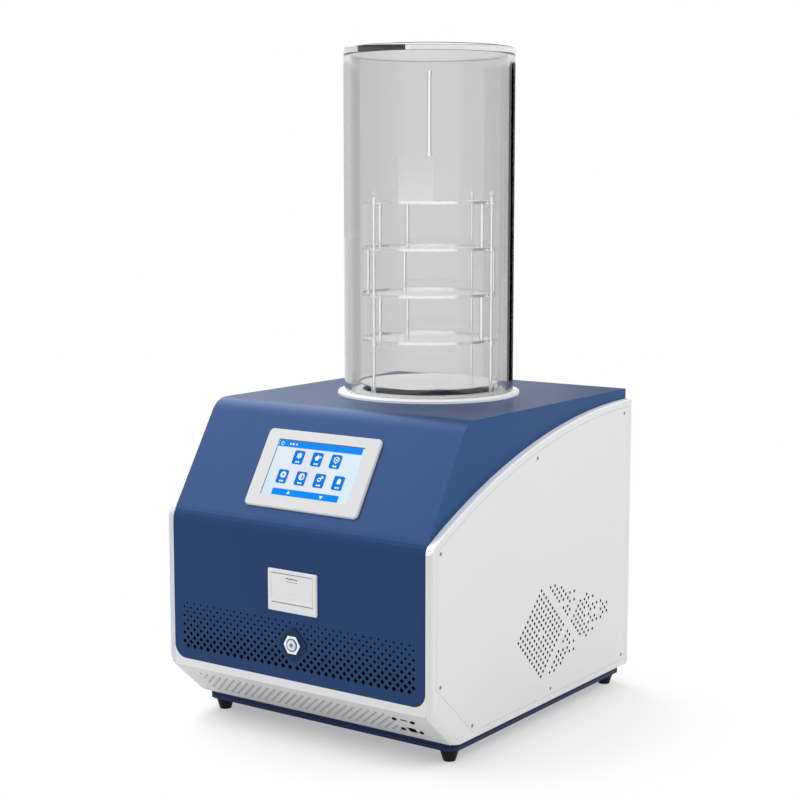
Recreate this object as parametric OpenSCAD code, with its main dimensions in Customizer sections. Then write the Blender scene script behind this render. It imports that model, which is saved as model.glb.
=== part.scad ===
// Bench-top freeze dryer: a sheet-metal cabinet between two moulded side shells, with a
// refrigerated cold trap in its top and a clear drying chamber with a four-shelf rack.
// The front face is the plane y = 0, the floor is z = 0 and the cabinet is centred on x = 0;
// place() then puts the origin under the middle of the whole object.

/* [Cabinet] */
// Width over the two side shells
body_w = 455; // [420:1:520]
// Depth from the front face to the back of the side shells
body_d = 538; // [520:1:620]
// Height of the cover's top above the floor
top_z = 458; // [450:1:500]
// Height of the feet
foot_h = 18; // [10:1:30]
// Diameter of a foot where it meets the pan
foot_d = 28; // [18:1:34]
// Distance of the feet's centres from the pan's edges
foot_inset = 19; // [16:1:40]
// Height of the base pan
pan_h = 13; // [10:1:25]
// Radius of the base pan's corners
pan_corner_r = 16; // [12:1:32]
// Thickness of the base pan's floor
pan_floor = 2; // [1:0.5:4]
// Thickness of the base pan's walls
pan_wall = 3; // [2:0.5:5]
// Setback of the base pan behind the front face
pan_setback = 66; // [60:1:80]

/* [Cover] */
// Thickness of the cover's sheet metal
sheet = 1.5; // [1:0.25:2.5]
// Height where the upright front bends into the slanted face
bend_z = 302; // [290:1:320]
// Lean of the slanted face from the vertical
slant = 32; // [25:1:36]
// Radius of the soft bend under the slanted face
bend_r = 50; // [20:5:80]
// Radius of the bend between the slanted face and the top
brow_r = 26; // [15:1:35]
// Height of the cover's lower front edge
cover_low_z = 95; // [90:1:105]
// Radius of the front's two lower corners
front_corner_r = 20; // [8:1:26]
// Spacing of the ventilation holes in a row
vent_pitch = 12.4; // [11:0.2:15]
// Number of rows of holes in the front
front_rows = 11; // [5:2:13]
// Holes in the odd rows of the front
front_columns = 32; // [20:1:33]
// Size of the smallest front hole, corner to corner
front_hole_min = 3.6; // [2:0.2:4]
// Size of the largest front hole, corner to corner
front_hole_max = 7.4; // [5:0.2:8.4]

/* [Side shells] */
// Thickness of a side shell
shell_t = 10.5; // [9:0.5:14]
// Height of a shell's upper edge at the front
shell_front_z = 306; // [295:1:315]
// Height of a shell's upper edge at the back
shell_rear_z = 443; // [430:1:446]
// Height of the crease where the front turns back into the lower slope
crease_z = 84; // [78:1:88]
// How far the lower slope runs back
slope_run = 59; // [50:1:60]
// Radius of a shell's outer edges
shell_edge_r = 3; // [2:0.5:5]
// Depth of the wider rounding along a shell's lower slope
slope_edge_r = 9; // [6:0.5:9.5]
// Width of the shell's frame around the side panel
frame_w = 10; // [9:0.5:14]
// Thickness of a side panel
panel_t = 2.5; // [1.5:0.5:4]
// Gap around a side panel
panel_gap = 0.3; // [0.2:0.1:1.5]
// Distance of the panel screws from the shell's edge
screw_inset = 19; // [17:0.5:22]
// Diameter of a ventilation hole in a side panel
side_hole_d = 4.8; // [3:0.2:6.4]

/* [Display] */
// Width of the display bezel
bezel_w = 194; // [180:1:210]
// Height of the display bezel
bezel_h = 116; // [100:1:125]
// How far the bezel stands proud of the slanted face
bezel_t = 4; // [3:0.5:7]
// Width of the display glass
glass_w = 148; // [130:1:158]
// Height of the display glass
glass_h = 83; // [75:1:90]
// Distance of the display's middle up the slanted face from the bend
bezel_up = 87; // [82:1:95]

/* [Printer] */
// Width of the printer's bezel
printer_w = 84; // [80:1:100]
// Height of the printer's bezel
printer_h = 58; // [56:1:70]
// Height of the printer's middle
printer_z = 219; // [210:1:235]
// How far the printer's bezel stands proud
printer_t = 3; // [3:0.5:5]
// Depth of the paper bay
bay_d = 48; // [44:1:60]
// Diameter of the paper roll
roll_d = 33; // [20:1:34]

/* [Drain fitting] */
// Height of the fitting's axis
port_z = 146; // [140:1:150]
// Side of the square plate behind the fitting
port_plate_w = 38; // [30:1:42]
// Width across the flats of the fitting's hexagon
hex_w = 24.4; // [22:0.2:27]
// Outer diameter of the tube that the fitting takes
hose_d = 6; // [5:0.5:8]

/* [Chamber] */
// Distance of the chamber's axis behind the front face
axis_y = 324; // [310:1:330]
// Outer diameter of the clear chamber
chamber_d = 250; // [235:1:258]
// Wall of the clear chamber
chamber_wall = 10; // [5:0.5:12]
// Height of the chamber's top above the floor
chamber_top_z = 960; // [900:1:1040]
// Thickness of the chamber's lid
lid_t = 10; // [6:0.5:20]
// Inside diameter of the cold trap
trap_d = 190; // [170:1:194]
// Depth of the cold trap
trap_depth = 158; // [120:1:162]
// Wall of the cold trap
trap_wall = 1.5; // [1:0.25:2]
// Diameter of the evaporator tube
coil_d = 9.6; // [8:0.1:10]
// Turns of the evaporator tube
coil_turns = 6.5; // [4.5:1:7.5]
// Radial thickness of the foam round the cold trap
foam_t = 30; // [15:1:34]

/* [Shelf rack] */
// Diameter of a shelf
shelf_d = 200; // [180:1:206]
// Sheet thickness of a shelf
shelf_t = 1.5; // [1:0.25:2.5]
// Height of a shelf's rim
rim_h = 4; // [3:0.5:12]
// Spacing of the shelves
shelf_pitch = 66.5; // [50:0.5:75]
// Height of the lowest shelf above the cabinet's top
shelf_low = 80; // [50:1:100]
// Height of the rack's base plate above the collar round the trap
base_gap = 8; // [5:0.5:15]
// Diameter of the rack's posts
post_d = 4.4; // [3:0.2:6]
// Diameter of the rack's spacers
spacer_d = 6; // [4:0.2:8]

/* [Rear] */
// Inside diameter of the vacuum port
vacuum_d = 25; // [20:1:30]
// How far the vacuum port stands out behind the rear panel
vacuum_out = 34; // [25:1:60]
// Height of the vacuum port's axis
vacuum_z = 424; // [410:1:428]

/* [Hidden] */

// Clearances: running in a bore, loose round a passing piece, and between soft or curved faces
run = 0.05;
loose = 0.3;
arc_step = 7.5;

inner_w = body_w - 2 * shell_t;
half_in = inner_w / 2;
pan_top = foot_h + pan_h;
slope_rise = crease_z - pan_top;
slope_a = atan2(slope_run, slope_rise);
slope_len = norm([slope_run, slope_rise]);
cover_d = body_d - 2;
rear_in = cover_d - 2;
rear_face = rear_in + sheet;
vent_step = vent_pitch / 2;
white = "#e6e8ea";
blue = "#3c5884";
dark_blue = "#1e2a4e";
steel = "#b9bec4";
copper = "#b5683c";

// ---- shared geometry -------------------------------------------------------------------

function unit(v) = v / norm(v);
function turn(v, a) = [v[0] * cos(a) - v[1] * sin(a), v[0] * sin(a) + v[1] * cos(a)];
function flat(p) = [p[0], p[1]];

// Points of the arc that rounds corner b between its neighbours a and c
function corner_arc(a, b, c, r) =
  let (u = unit(a - b), v = unit(c - b), half = acos(u * v) / 2)
  let (mid = b + unit(u + v) * r / sin(half), s = b + u * r / tan(half) - mid)
  let (e = b + v * r / tan(half) - mid, sweep = atan2(cross(s, e), s * e))
  let (n = max(1, ceil(abs(sweep) / arc_step)))
  [for (i = [0:n]) mid + turn(s, sweep * i / n)];

// A closed outline from [x, y, radius] corners
function rounded(p) = [for (i = [0:len(p) - 1])
  let (a = p[(i + len(p) - 1) % len(p)], b = p[i], c = p[(i + 1) % len(p)])
  each (b[2] > 0 ? corner_arc(flat(a), flat(b), flat(c), b[2]) : [flat(b)])];

function box_outline(w, h, r) = rounded([[-w / 2, -h / 2, r], [w / 2, -h / 2, r],
  [w / 2, h / 2, r], [-w / 2, h / 2, r]]);

// A path through the points p with its corners bent to radius r
function bent_path(p, r) = concat([p[0]], [for (i = [1:len(p) - 2]) each
  let (u = unit(p[i - 1] - p[i]), v = unit(p[i + 1] - p[i]), half = acos(u * v) / 2)
  let (mid = p[i] + unit(u + v) * r / sin(half), s = p[i] + u * r / tan(half) - mid)
  let (e = p[i] + v * r / tan(half) - mid, e1 = unit(s), e2 = unit(e - (e * e1) * e1))
  [for (k = [0:6]) mid + r * (cos(k * (180 - 2 * half) / 6) * e1
    + sin(k * (180 - 2 * half) / 6) * e2)]], [p[len(p) - 1]]);

function tangent(p, i) = unit(p[min(i + 1, len(p) - 1)] - p[max(i - 1, 0)]);
function square_to(v, t) = unit(v - (v * t) * t);

// A round bar of radius r swept along the path p
module bar_along(p, r, sides = 10) {
  n = len(p);
  side0 = square_to(abs(tangent(p, 0)[2]) < 0.9 ? [0, 0, 1] : [1, 0, 0], tangent(p, 0));
  normals = [for (i = 0, v = side0; i < n;
    i = i + 1, v = square_to(v, tangent(p, min(i, n - 1)))) v];
  rings = [for (i = [0:n - 1]) each let (t = tangent(p, i), a = normals[i], b = cross(t, a))
    [for (k = [0:sides - 1]) p[i] + r * (cos(360 * k / sides) * a + sin(360 * k / sides) * b)]];
  walls = [for (i = [0:n - 2], k = [0:sides - 1])
    [i * sides + k, (i + 1) * sides + k, (i + 1) * sides + (k + 1) % sides, i * sides + (k + 1) % sides]];
  ends = [[for (k = [0:sides - 1]) k], [for (k = [sides - 1:-1:0]) (n - 1) * sides + k]];
  polyhedron(points = rings, faces = concat(walls, ends), convexity = 8);
}

// Extrudes an outline drawn in [y, z] to the right from x
module side_extrude(x, t) translate([x, 0, 0]) rotate([90, 0, 90]) linear_extrude(t) children();

// Extrudes an outline drawn in [x, z] forward from the plane y
module forward(y, t) translate([0, y, 0]) rotate([90, 0, 0]) linear_extrude(t) children();

// A round bar or bore along +x or +y
module bar_x(r, l) rotate([0, 90, 0]) cylinder(r = r, h = l);
module bar_y(r, l) rotate([-90, 0, 0]) cylinder(r = r, h = l);

// Puts a child, drawn with z up the slanted face and -y out of it, on the slanted face
module on_slant(up) translate([0, 0, bend_z]) rotate([-slant, 0, 0]) translate([0, 0, up]) children();

// Puts a child, drawn with z up the lower slope and -y out of it, at a distance down from the crease
module on_slope(down) translate([0, 0, crease_z]) rotate([slope_a, 0, 0]) translate([0, 0, -down]) children();

// Puts a child on the chamber's axis, with z = 0 at the cabinet's top
module on_axis() translate([0, axis_y, top_z]) children();

// ---- cabinet outlines, in [y, z] -------------------------------------------------------

slant_top_y = (top_z - bend_z) * tan(slant);

// The folded cover's profile, inset by d
function cover_profile(d, low) = rounded([[d, low, 0], [d, bend_z - d * tan(slant / 2), bend_r - d],
  [slant_top_y + d * tan(45 - slant / 2), top_z - d, brow_r - d], [cover_d, top_z - d, 0],
  [cover_d, low, 0]]);

// Radius and centre of the long arc along a side shell's upper edge
shell_rise = shell_rear_z - shell_front_z;
arc_r = (body_d * body_d + shell_rise * shell_rise) / (2 * shell_rise);
function arc_z(y, d) = shell_rear_z - arc_r + sqrt(pow(arc_r - d, 2) - pow(body_d - y, 2));
function slope_z(y, d) = crease_z - y * slope_rise / slope_run + d * slope_len / slope_run;

// A side shell's profile, inset by d, and by e along the lower slope
function shell_profile(d, e, r) = let (n = 14,
    front_low = slope_z(d, e), slope_y = (slope_z(0, e) - pan_top - d) * slope_run / slope_rise)
  rounded(concat([[d, front_low, r], [slope_y, pan_top + d, r], [body_d - d, pan_top + d, min(r, 3)],
    [body_d - d, arc_z(body_d - d, d), 0]],
    [for (i = [1:n - 1]) let (y = body_d - d - (body_d - 2 * d) * i / n) [y, arc_z(y, d), 0]],
    [[d, arc_z(d, d), max(r, 14 - d)]]));

panel_cut = 33;
panel_screws_yz = [[screw_inset, slope_z(screw_inset, panel_cut) + 10],
  [screw_inset, arc_z(screw_inset, 0) - screw_inset],
  [body_d / 2 - 10, arc_z(body_d / 2 - 10, 0) - screw_inset],
  [body_d - screw_inset - 6, arc_z(body_d - screw_inset - 6, 0) - screw_inset],
  [body_d - screw_inset - 4, pan_top + screw_inset],
  [body_d * 0.56, pan_top + screw_inset],
  [(slope_z(0, panel_cut) - pan_top - screw_inset) * slope_run / slope_rise + 8, pan_top + screw_inset]];
screw_head_r = 2.6;
screw_head_t = 1.2;
screw_r = 1.5;

// ---- base ------------------------------------------------------------------------------

pan_d = cover_d - pan_setback;
pan_mid = pan_setback + pan_d / 2;

module pan_outline(d) polygon(box_outline(inner_w - 2 * d, pan_d - 2 * d, pan_corner_r - d));

module base_pan() color(dark_blue) translate([0, pan_mid, foot_h]) difference() {
  linear_extrude(pan_h) pan_outline(0);
  translate([0, 0, pan_floor]) linear_extrude(pan_h) pan_outline(pan_wall);
  translate([0, 0, pan_h * 0.45]) linear_extrude(1.4) difference() {
    pan_outline(-1);
    pan_outline(1.2);
  }
}

module foot(sx, sy) color("#1c1d1f")
  translate([sx * (half_in - foot_inset), pan_mid + sy * (pan_d / 2 - foot_inset), 0])
    cylinder(d1 = foot_d * 0.6, d2 = foot_d, h = foot_h, $fn = 40);

module foot_front_left() foot(-1, -1);
module foot_front_right() foot(1, -1);
module foot_rear_left() foot(-1, 1);
module foot_rear_right() foot(1, 1);

// ---- cover -----------------------------------------------------------------------------

front_low_row = port_z - 32;
front_row_mid = (front_columns - 1) * vent_pitch / 2;

// What the rounding takes off a lower corner of the front
module front_corner(gap) for (s = [0, 1]) mirror([s, 0])
  translate([half_in - front_corner_r, cover_low_z]) difference() {
    square(front_corner_r);
    translate([0, front_corner_r]) circle(r = front_corner_r + gap, $fn = 96);
  }

// Staggered square holes that grow towards the bottom and leave a diamond round the fitting
module front_vents() for (row = [0:front_rows - 1], col = [0:front_columns - 1 + row % 2]) {
  x = col * vent_pitch - front_row_mid - (row % 2) * vent_step;
  z = front_low_row + row * vent_step;
  size = front_hole_max - (front_hole_max - front_hole_min) * row / (front_rows - 1);
  if (abs(x) + abs(z - port_z) > port_plate_w * 0.71 + 2.5) translate([x, z]) circle(d = size, $fn = 4);
}

printer_case_w = printer_w - 9;
printer_case_h = printer_h - 7;
screen_case_w = glass_w + 18;
screen_case_h = glass_h + 13;
port_thread_r = 9.6;
trap_r = trap_d / 2 + trap_wall;
trap_hole_r = trap_r + 1.5;

module cover() color(blue) difference() {
  union() {
    side_extrude(-half_in, inner_w) difference() {
      polygon(cover_profile(0, cover_low_z));
      polygon(cover_profile(sheet, cover_low_z - 1));
      translate([cover_d - sheet, 0]) square([2 * sheet, top_z - sheet]);
    }
    for (x = [-half_in, half_in - sheet]) side_extrude(x, sheet) difference() {
      polygon(cover_profile(0, pan_top));
      translate([-1, 0]) square([slope_run + 4, cover_low_z]);
      polygon(shell_profile(frame_w + 20, panel_cut + 14, 10));
    }
  }
  translate([0, axis_y, top_z - 2 * sheet]) cylinder(r = trap_hole_r, h = 4 * sheet, $fn = 96);
  forward(2 * sheet, 4 * sheet) translate([0, printer_z])
    square([printer_case_w + loose * 2, printer_case_h + loose * 2], center = true);
  on_slant(bezel_up) forward(2 * sheet, 4 * sheet)
    square([screen_case_w + loose * 2, screen_case_h + loose * 2], center = true);
  translate([0, -sheet, port_z]) bar_y(port_thread_r + loose, 4 * sheet, $fn = 48);
  forward(2 * sheet, 4 * sheet) {
    front_vents();
    front_corner(0);
  }
}

// ---- side shells -----------------------------------------------------------------------

// How far a shell's edge of radius r has drawn in at a thickness of t
function drawn_in(t, r) = t > shell_t - r ? r - sqrt(r * r - pow(t - shell_t + r, 2)) : 0;

module right_shell() color(white) difference() {
  hull() for (a = [0:18:90]) let (t = shell_t - slope_edge_r * (1 - sin(a))) side_extrude(half_in, t)
    polygon(shell_profile(drawn_in(t, shell_edge_r), slope_edge_r * 1.3 * (1 - cos(a)), 14));
  side_extrude(body_w / 2 - panel_t, 2 * panel_t) polygon(shell_profile(frame_w, panel_cut, 5));
  side_extrude(half_in - 1, shell_t) polygon(shell_profile(frame_w + 20, panel_cut + 14, 10));
  for (p = panel_screws_yz) translate([half_in - 1, p[0], p[1]]) bar_x(screw_r + run, shell_t, $fn = 24);
}

// Extra columns of the ventilation field, as [column, first row, last row]
vent_runs = [[12, 2, 6], [12, 8, 10], [13, 3, 7], [13, 9, 10], [14, 5, 9], [15, 8, 8], [15, 10, 10],
  [16, 9, 9]];
vent_corner = [[12, 12, 16], [13, 13, 18], [14, 14, 18], [15, 15, 15], [15, 17, 17], [15, 19, 19],
  [16, 16, 18], [17, 18, 19], [18, 20, 20], [19, 19, 20], [20, 20, 21]];
vent_y = body_d / 2 + 5;
vent_z = port_z - 10;

module side_hole(i, j) translate([vent_y + vent_step * (i + j - 10), vent_z + vent_step * (i - j)])
  circle(d = side_hole_d, $fn = 8);

// A rhombus of holes with a blank middle, and smaller groups behind it that thin out
module side_vents() {
  for (i = [0:10], j = [0:10]) if (i != 5 || j != 5) side_hole(i, j);
  for (run_ij = concat(vent_runs, vent_corner), j = [run_ij[1]:run_ij[2]]) {
    side_hole(run_ij[0], j);
    if (j != run_ij[0]) side_hole(j, run_ij[0]);
  }
}

module right_panel() color(white) difference() {
  side_extrude(body_w / 2 - panel_t, panel_t) difference() {
    polygon(shell_profile(frame_w + panel_gap, panel_cut + panel_gap, 5));
    side_vents();
  }
  for (p = panel_screws_yz) translate([body_w / 2 - panel_t - 1, p[0], p[1]]) {
    bar_x(screw_r + 0.2, panel_t + 2, $fn = 24);
    translate([panel_t + 1 - screw_head_t, 0, 0]) bar_x(screw_head_r + 0.2, 2, $fn = 24);
  }
}

module side_shell_right() right_shell();
module side_shell_left() mirror([1, 0, 0]) right_shell();
module side_panel_right() right_panel();
module side_panel_left() mirror([1, 0, 0]) right_panel();

module panel_screws() color(steel) for (m = [0, 1]) mirror([m, 0, 0]) for (p = panel_screws_yz)
  translate([body_w / 2 - screw_head_t, p[0], p[1]]) difference() {
    union() {
      bar_x(screw_head_r, screw_head_t - 0.2, $fn = 24);
      translate([screw_head_t - shell_t + 1, 0, 0]) bar_x(screw_r, shell_t - screw_head_t, $fn = 24);
    }
    translate([0.3, 0, 0]) rotate([0, 90, 0]) cylinder(r = 1.3, h = 2, $fn = 6);
  }

// ---- lower front -----------------------------------------------------------------------

skirt_t = 2;
slot_w = 2.6;
slot_h = 4.8;
slot_rows = 8;
socket_x = half_in - 48;
usb_down = 26;
data_down = 55;
socket_screw_dx = 14.6;
usb_w = 11;
usb_h = 4.4;
data_w = 13;
data_h = 12.5;
screw_bore = 1.6;

// The band under the cover and the slope below it, inset by d
function skirt_profile(d) = [[d, cover_low_z], [d, crease_z + d * tan(slope_a / 2)],
  [slope_run + d * tan(45 - slope_a / 2), pan_top + d]];

module slope_slots() {
  columns = floor((half_in - 34 + socket_x - 24) / vent_pitch);
  for (row = [0:slot_rows - 1], col = [0:columns])
    translate([34 - half_in + col * vent_pitch + (row % 2) * vent_step, -20 - row * vent_step])
      square([slot_w, slot_h], center = true);
}

module skirt() color("#d9dbde") difference() {
  union() {
    side_extrude(-half_in, inner_w)
      polygon(concat(skirt_profile(0), [[pan_setback + pan_wall, pan_top],
        [pan_setback + pan_wall, pan_top + skirt_t]],
        [for (i = [2:-1:0]) skirt_profile(skirt_t)[i]]));
    for (x = [-half_in, half_in - skirt_t]) side_extrude(x, skirt_t)
      polygon(concat(skirt_profile(0), [[slope_run + 2, pan_top], [slope_run + 2, cover_low_z]]));
    forward(skirt_t, skirt_t) {
      front_corner(0.1);
      translate([-half_in, cover_low_z - 1]) square([inner_w, 1]);
    }
  }
  for (x = [-half_in - 1, half_in - sheet - loose]) translate([x, slope_run + 3.5, pan_top - 1])
    cube([sheet + loose + 1, 12, skirt_t + 2]);
  on_slope(0) forward(2 * skirt_t, 4 * skirt_t) {
    slope_slots();
    translate([socket_x, -usb_down]) square([usb_w + 2 * loose, usb_h + 2 * loose], center = true);
    translate([socket_x, -data_down]) square([data_w + 2 * loose, data_h + 2 * loose], center = true);
  }
  for (down = [usb_down, data_down], s = [-1, 1]) on_slope(down)
    translate([socket_x + s * socket_screw_dx, -2 * skirt_t, 0])
      bar_y(screw_bore + run, 6 * skirt_t, $fn = 24);
}

// A panel socket with an eared flange behind the skirt and an open mouth of w by h
module panel_socket(down, w, h, tongue) on_slope(down) translate([socket_x, 0, 0]) difference() {
  union() {
    translate([0, skirt_t, 0]) {
      translate([0, 3, 0]) rotate([90, 0, 0]) linear_extrude(3) difference() {
        square([2 * socket_screw_dx + 9, h + 5], center = true);
        for (s = [-1, 1]) translate([s * socket_screw_dx, 0]) circle(r = screw_bore + run, $fn = 24);
      }
      forward(18, 18) square([w + 2, h + 2], center = true);
    }
    forward(skirt_t + 1, skirt_t + 0.6) square([w, h], center = true);
  }
  difference() {
    forward(14, 20) square([w - 1.4, h - 1.2], center = true);
    forward(15, 11) square([w - 4.5, tongue], center = true);
  }
}

module usb_socket() color("#8e9296") panel_socket(usb_down, usb_w, usb_h, 1);
module data_socket() color("#26282b") panel_socket(data_down, data_w, data_h, 2.4);

module socket_screws() color("#2a2c2e") for (down = [usb_down, data_down], s = [-1, 1]) on_slope(down)
  translate([socket_x + s * socket_screw_dx, -1.4, 0]) difference() {
    union() {
      bar_y(3.3, 1.4, $fn = 24);
      bar_y(screw_bore, skirt_t + 5, $fn = 24);
    }
    translate([0, -1, 0]) rotate([-90, 0, 0]) cylinder(r = 1.2, h = 1.8, $fn = 6);
  }

// ---- display ---------------------------------------------------------------------------

ledge = 3;
glass_t = 1.4;
glass_back = 2;
glass_rise = 1.5;

module screen_bezel() color(white) on_slant(bezel_up) difference() {
  hull() {
    forward(0, bezel_t - 1.5) polygon(box_outline(bezel_w, bezel_h, 7));
    forward(0, bezel_t) polygon(box_outline(bezel_w - 3, bezel_h - 3, 6));
  }
  forward(-glass_back, bezel_t) translate([0, glass_rise])
    square([glass_w + 2 * loose, glass_h + 2 * loose], center = true);
  forward(1, bezel_t + 2) translate([0, glass_rise])
    square([glass_w - 2 * ledge, glass_h - 2 * ledge], center = true);
}

module screen_glass() color("#9ec4ec") on_slant(bezel_up)
  forward(-glass_back, glass_t) translate([0, glass_rise]) square([glass_w, glass_h], center = true);

module screen_case() color("#2b2d30") on_slant(bezel_up) difference() {
  forward(32, 32) polygon(box_outline(screen_case_w, screen_case_h, 4));
  for (i = [-3:3]) translate([i * 18, 33, 0]) rotate([90, 0, 0])
    linear_extrude(4) square([3, 60], center = true);
}

module control_board() color("#2f6d3f") on_slant(bezel_up) {
  forward(37.6, 1.6) square([screen_case_w - 20, screen_case_h - 8], center = true);
  for (x = [-1, 1], z = [-1, 1])
    translate([x * (screen_case_w / 2 - 14), 32, z * (screen_case_h / 2 - 8)]) bar_y(3, 4, $fn = 24);
  translate([-40, 37.6, 16]) cube([26, 8, 26], center = false);
  translate([6, 37.6, -10]) cube([18, 3, 18]);
  translate([34, 37.6, 22]) bar_y(8, 20, $fn = 24);
  translate([54, 37.6, 22]) bar_y(8, 20, $fn = 24);
  translate([-62, 37.6, -34]) cube([58, 10, 12]);
}

// ---- printer ---------------------------------------------------------------------------

bay_w = printer_case_w - 3;
bay_h = printer_case_h - 9.4;
bay_mid = printer_z + 3.4;
bay_low = bay_mid - bay_h / 2;
bay_high = bay_mid + bay_h / 2;
hinge_r = 2;
hinge_y = -1.5;
hinge_z = bay_low + hinge_r + 0.7;
pivot_r = 0.8;
pivot_l = 1.5;
door_w = bay_w - 0.8;
door_out = printer_t;
door_in = 0.6;
platen_r = 4;
platen_y = 3.8;
platen_z = bay_high - 7.5;
platen_l = 52;
ear_x = platen_l / 2 + 1;
shaft_r = 1.5;
latch_w = 19;
latch_h = 3.2;
latch_z = bay_high - 9.4;
latch_y = -1.9;
latch_pin_r = 0.6;

module printer_bezel() color(white) difference() {
  hull() {
    forward(0, printer_t - 1) translate([0, printer_z]) polygon(box_outline(printer_w, printer_h, 2));
    forward(0, printer_t) translate([0, printer_z]) polygon(box_outline(printer_w - 2, printer_h - 2, 1));
  }
  forward(1, printer_t + 2) translate([0, bay_mid]) square([bay_w, bay_h], center = true);
  translate([-bay_w / 2 - pivot_l, hinge_y, hinge_z]) bar_x(pivot_r + run, bay_w + 2 * pivot_l, $fn = 24);
}

module printer_case() color("#3a3c40") difference() {
  forward(bay_d, bay_d) translate([0, printer_z]) square([printer_case_w, printer_case_h], center = true);
  forward(bay_d - 2, bay_d) translate([0, bay_mid]) square([bay_w, bay_h], center = true);
}

module printer_door() color(white) difference() {
  union() {
    translate([-door_w / 2, -door_out, hinge_z]) cube([door_w, door_out - door_in, bay_high - 1 - hinge_z]);
    translate([-door_w / 2, hinge_y, hinge_z]) bar_x(hinge_r, door_w, $fn = 32);
    translate([-door_w / 2 - pivot_l + 0.3, hinge_y, hinge_z])
      bar_x(pivot_r, door_w + 2 * pivot_l - 0.6, $fn = 24);
    for (s = [-1, 1]) translate([s * (ear_x + 1) - 1, -door_in - 0.5, platen_z - 4])
      cube([2, platen_y + 3.5 + door_in, 7.5]);
  }
  translate([-latch_w / 2 - 0.3, -door_out - 1, latch_z - 1.4]) cube([latch_w + 0.6, 4, latch_h + 2]);
  translate([-latch_w / 2 - 1.5, latch_y, latch_z]) bar_x(latch_pin_r + run, latch_w + 3, $fn = 24);
  translate([-ear_x - 3, platen_y, platen_z]) bar_x(shaft_r + run, 2 * ear_x + 6, $fn = 32);
  translate([0, -door_out, hinge_z + 12.7]) cube([14, 0.6, 1], center = true);
}

module door_latch() color("#d0d3d6") {
  difference() {
    translate([-latch_w / 2, -door_out - 0.2, latch_z - 0.7]) cube([latch_w, 1.8, latch_h]);
    translate([0, -door_out - 0.2, latch_z + 1.6]) cube([latch_w - 3, 0.8, 0.6], center = true);
  }
  translate([-latch_w / 2 - 1.3, latch_y, latch_z]) bar_x(latch_pin_r, latch_w + 2.6, $fn = 24);
}

module platen_roller() color("#232427") translate([0, platen_y, platen_z]) {
  translate([-platen_l / 2, 0, 0]) bar_x(platen_r, platen_l, $fn = 48);
  translate([-ear_x - 2, 0, 0]) bar_x(shaft_r, 2 * ear_x + 4, $fn = 32);
}

module paper_roll() color("white")
  translate([-28.5, bay_d - 2 - loose - roll_d / 2, bay_low + loose + roll_d / 2]) difference() {
    bar_x(roll_d / 2, 57, $fn = 64);
    translate([-1, 0, 0]) bar_x(6, 59, $fn = 32);
  }

// ---- drain fitting ---------------------------------------------------------------------

port_plate_t = 1.2;
hex_t = 2.4;
collar_r = 6.8;
collar_out = 1.7;
collar_depth = 6;
hose_bore = hose_d / 2 + run;
body_in = 28;
ring_groove_r = 9.2;

module port_plate() color(dark_blue) difference() {
  forward(0, port_plate_t) translate([0, port_z]) rotate(45)
    polygon(box_outline(port_plate_w, port_plate_w, 8));
  translate([0, -port_plate_t - 1, port_z]) bar_y(port_thread_r + loose, port_plate_t + 2, $fn = 48);
}

module port_body() color(steel) translate([0, 0, port_z]) difference() {
  union() {
    translate([0, -port_plate_t - hex_t, 0]) rotate([-90, 0, 0])
      cylinder(d = hex_w / cos(30), h = hex_t, $fn = 6);
    translate([0, -port_plate_t - hex_t / 2, 0])
      bar_y(port_thread_r, port_plate_t + hex_t / 2 + 16, $fn = 48);
    translate([0, sheet, 0]) rotate([-90, 0, 0]) cylinder(d = hex_w / cos(30), h = 5, $fn = 6);
    translate([0, 10, 0]) bar_y(hose_d / 2 + 1.5, body_in - 10, $fn = 48);
  }
  translate([0, -port_plate_t - hex_t - 1, 0]) bar_y(hose_bore, body_in + port_plate_t + hex_t - 5, $fn = 48);
  translate([0, -port_plate_t - hex_t - 1, 0]) bar_y(collar_r + run, collar_depth + 3, $fn = 48);
  translate([0, 10, 0]) bar_y(hose_d / 2 - 1.5, body_in, $fn = 48);
  translate([0, -port_plate_t - hex_t - 1, 0]) difference() {
    bar_y(ring_groove_r, 2.2, $fn = 64);
    translate([0, -1, 0]) bar_y(ring_groove_r - 1.6, 5, $fn = 64);
  }
}

module release_collar() color("#e9ebee")
  translate([0, -port_plate_t - hex_t - collar_out, port_z]) difference() {
    bar_y(collar_r, collar_out + collar_depth, $fn = 48);
    translate([0, -1, 0]) bar_y(hose_bore + 0.15, collar_out + collar_depth + 2, $fn = 48);
  }

drain_low = top_z - trap_depth - 34;

module drain_hose() color("#d8d8d0")
  bar_along(bent_path([[0, axis_y, drain_low - 0.2], [0, axis_y, port_z], [0, body_in + 0.2, port_z]], 25),
    hose_d / 2 + 1, 12);

// ---- chamber and cold trap -------------------------------------------------------------

chamber_r = chamber_d / 2;
chamber_in = chamber_r - chamber_wall;
ring_r = chamber_r + 9.8;
trap_rim_r = trap_r + 14;
trap_rim_t = 2;
groove_z = 3;
seal_t = 2.5;
tube_low = groove_z + seal_t;
dome_z = 8;
dome_in = trap_r + 0.4;
post_circle_r = shelf_d / 2 + post_d / 2 + 0.6;

// White ring: a thin outer lip, a groove for the chamber and a raised collar round the trap
module flange_ring() color(white) on_axis() rotate_extrude($fn = 128) polygon(concat(
  [[trap_rim_r + loose, 0], [ring_r, 0], [ring_r, groove_z], [ring_r - 1, groove_z + 1.5],
   [chamber_r + 2, groove_z + 1.5], [chamber_r + 2, groove_z], [chamber_in - 2, groove_z]],
  [for (a = [0:18:90]) [chamber_in - 2 - (chamber_in - 2 - post_circle_r - 5) * (1 - cos(a)),
    groove_z + (dome_z - groove_z) * sin(a)]],
  [[dome_in + 0.8, dome_z], [dome_in, dome_z - 0.8], [dome_in, trap_rim_t],
    [trap_rim_r + loose, trap_rim_t]]));

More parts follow.
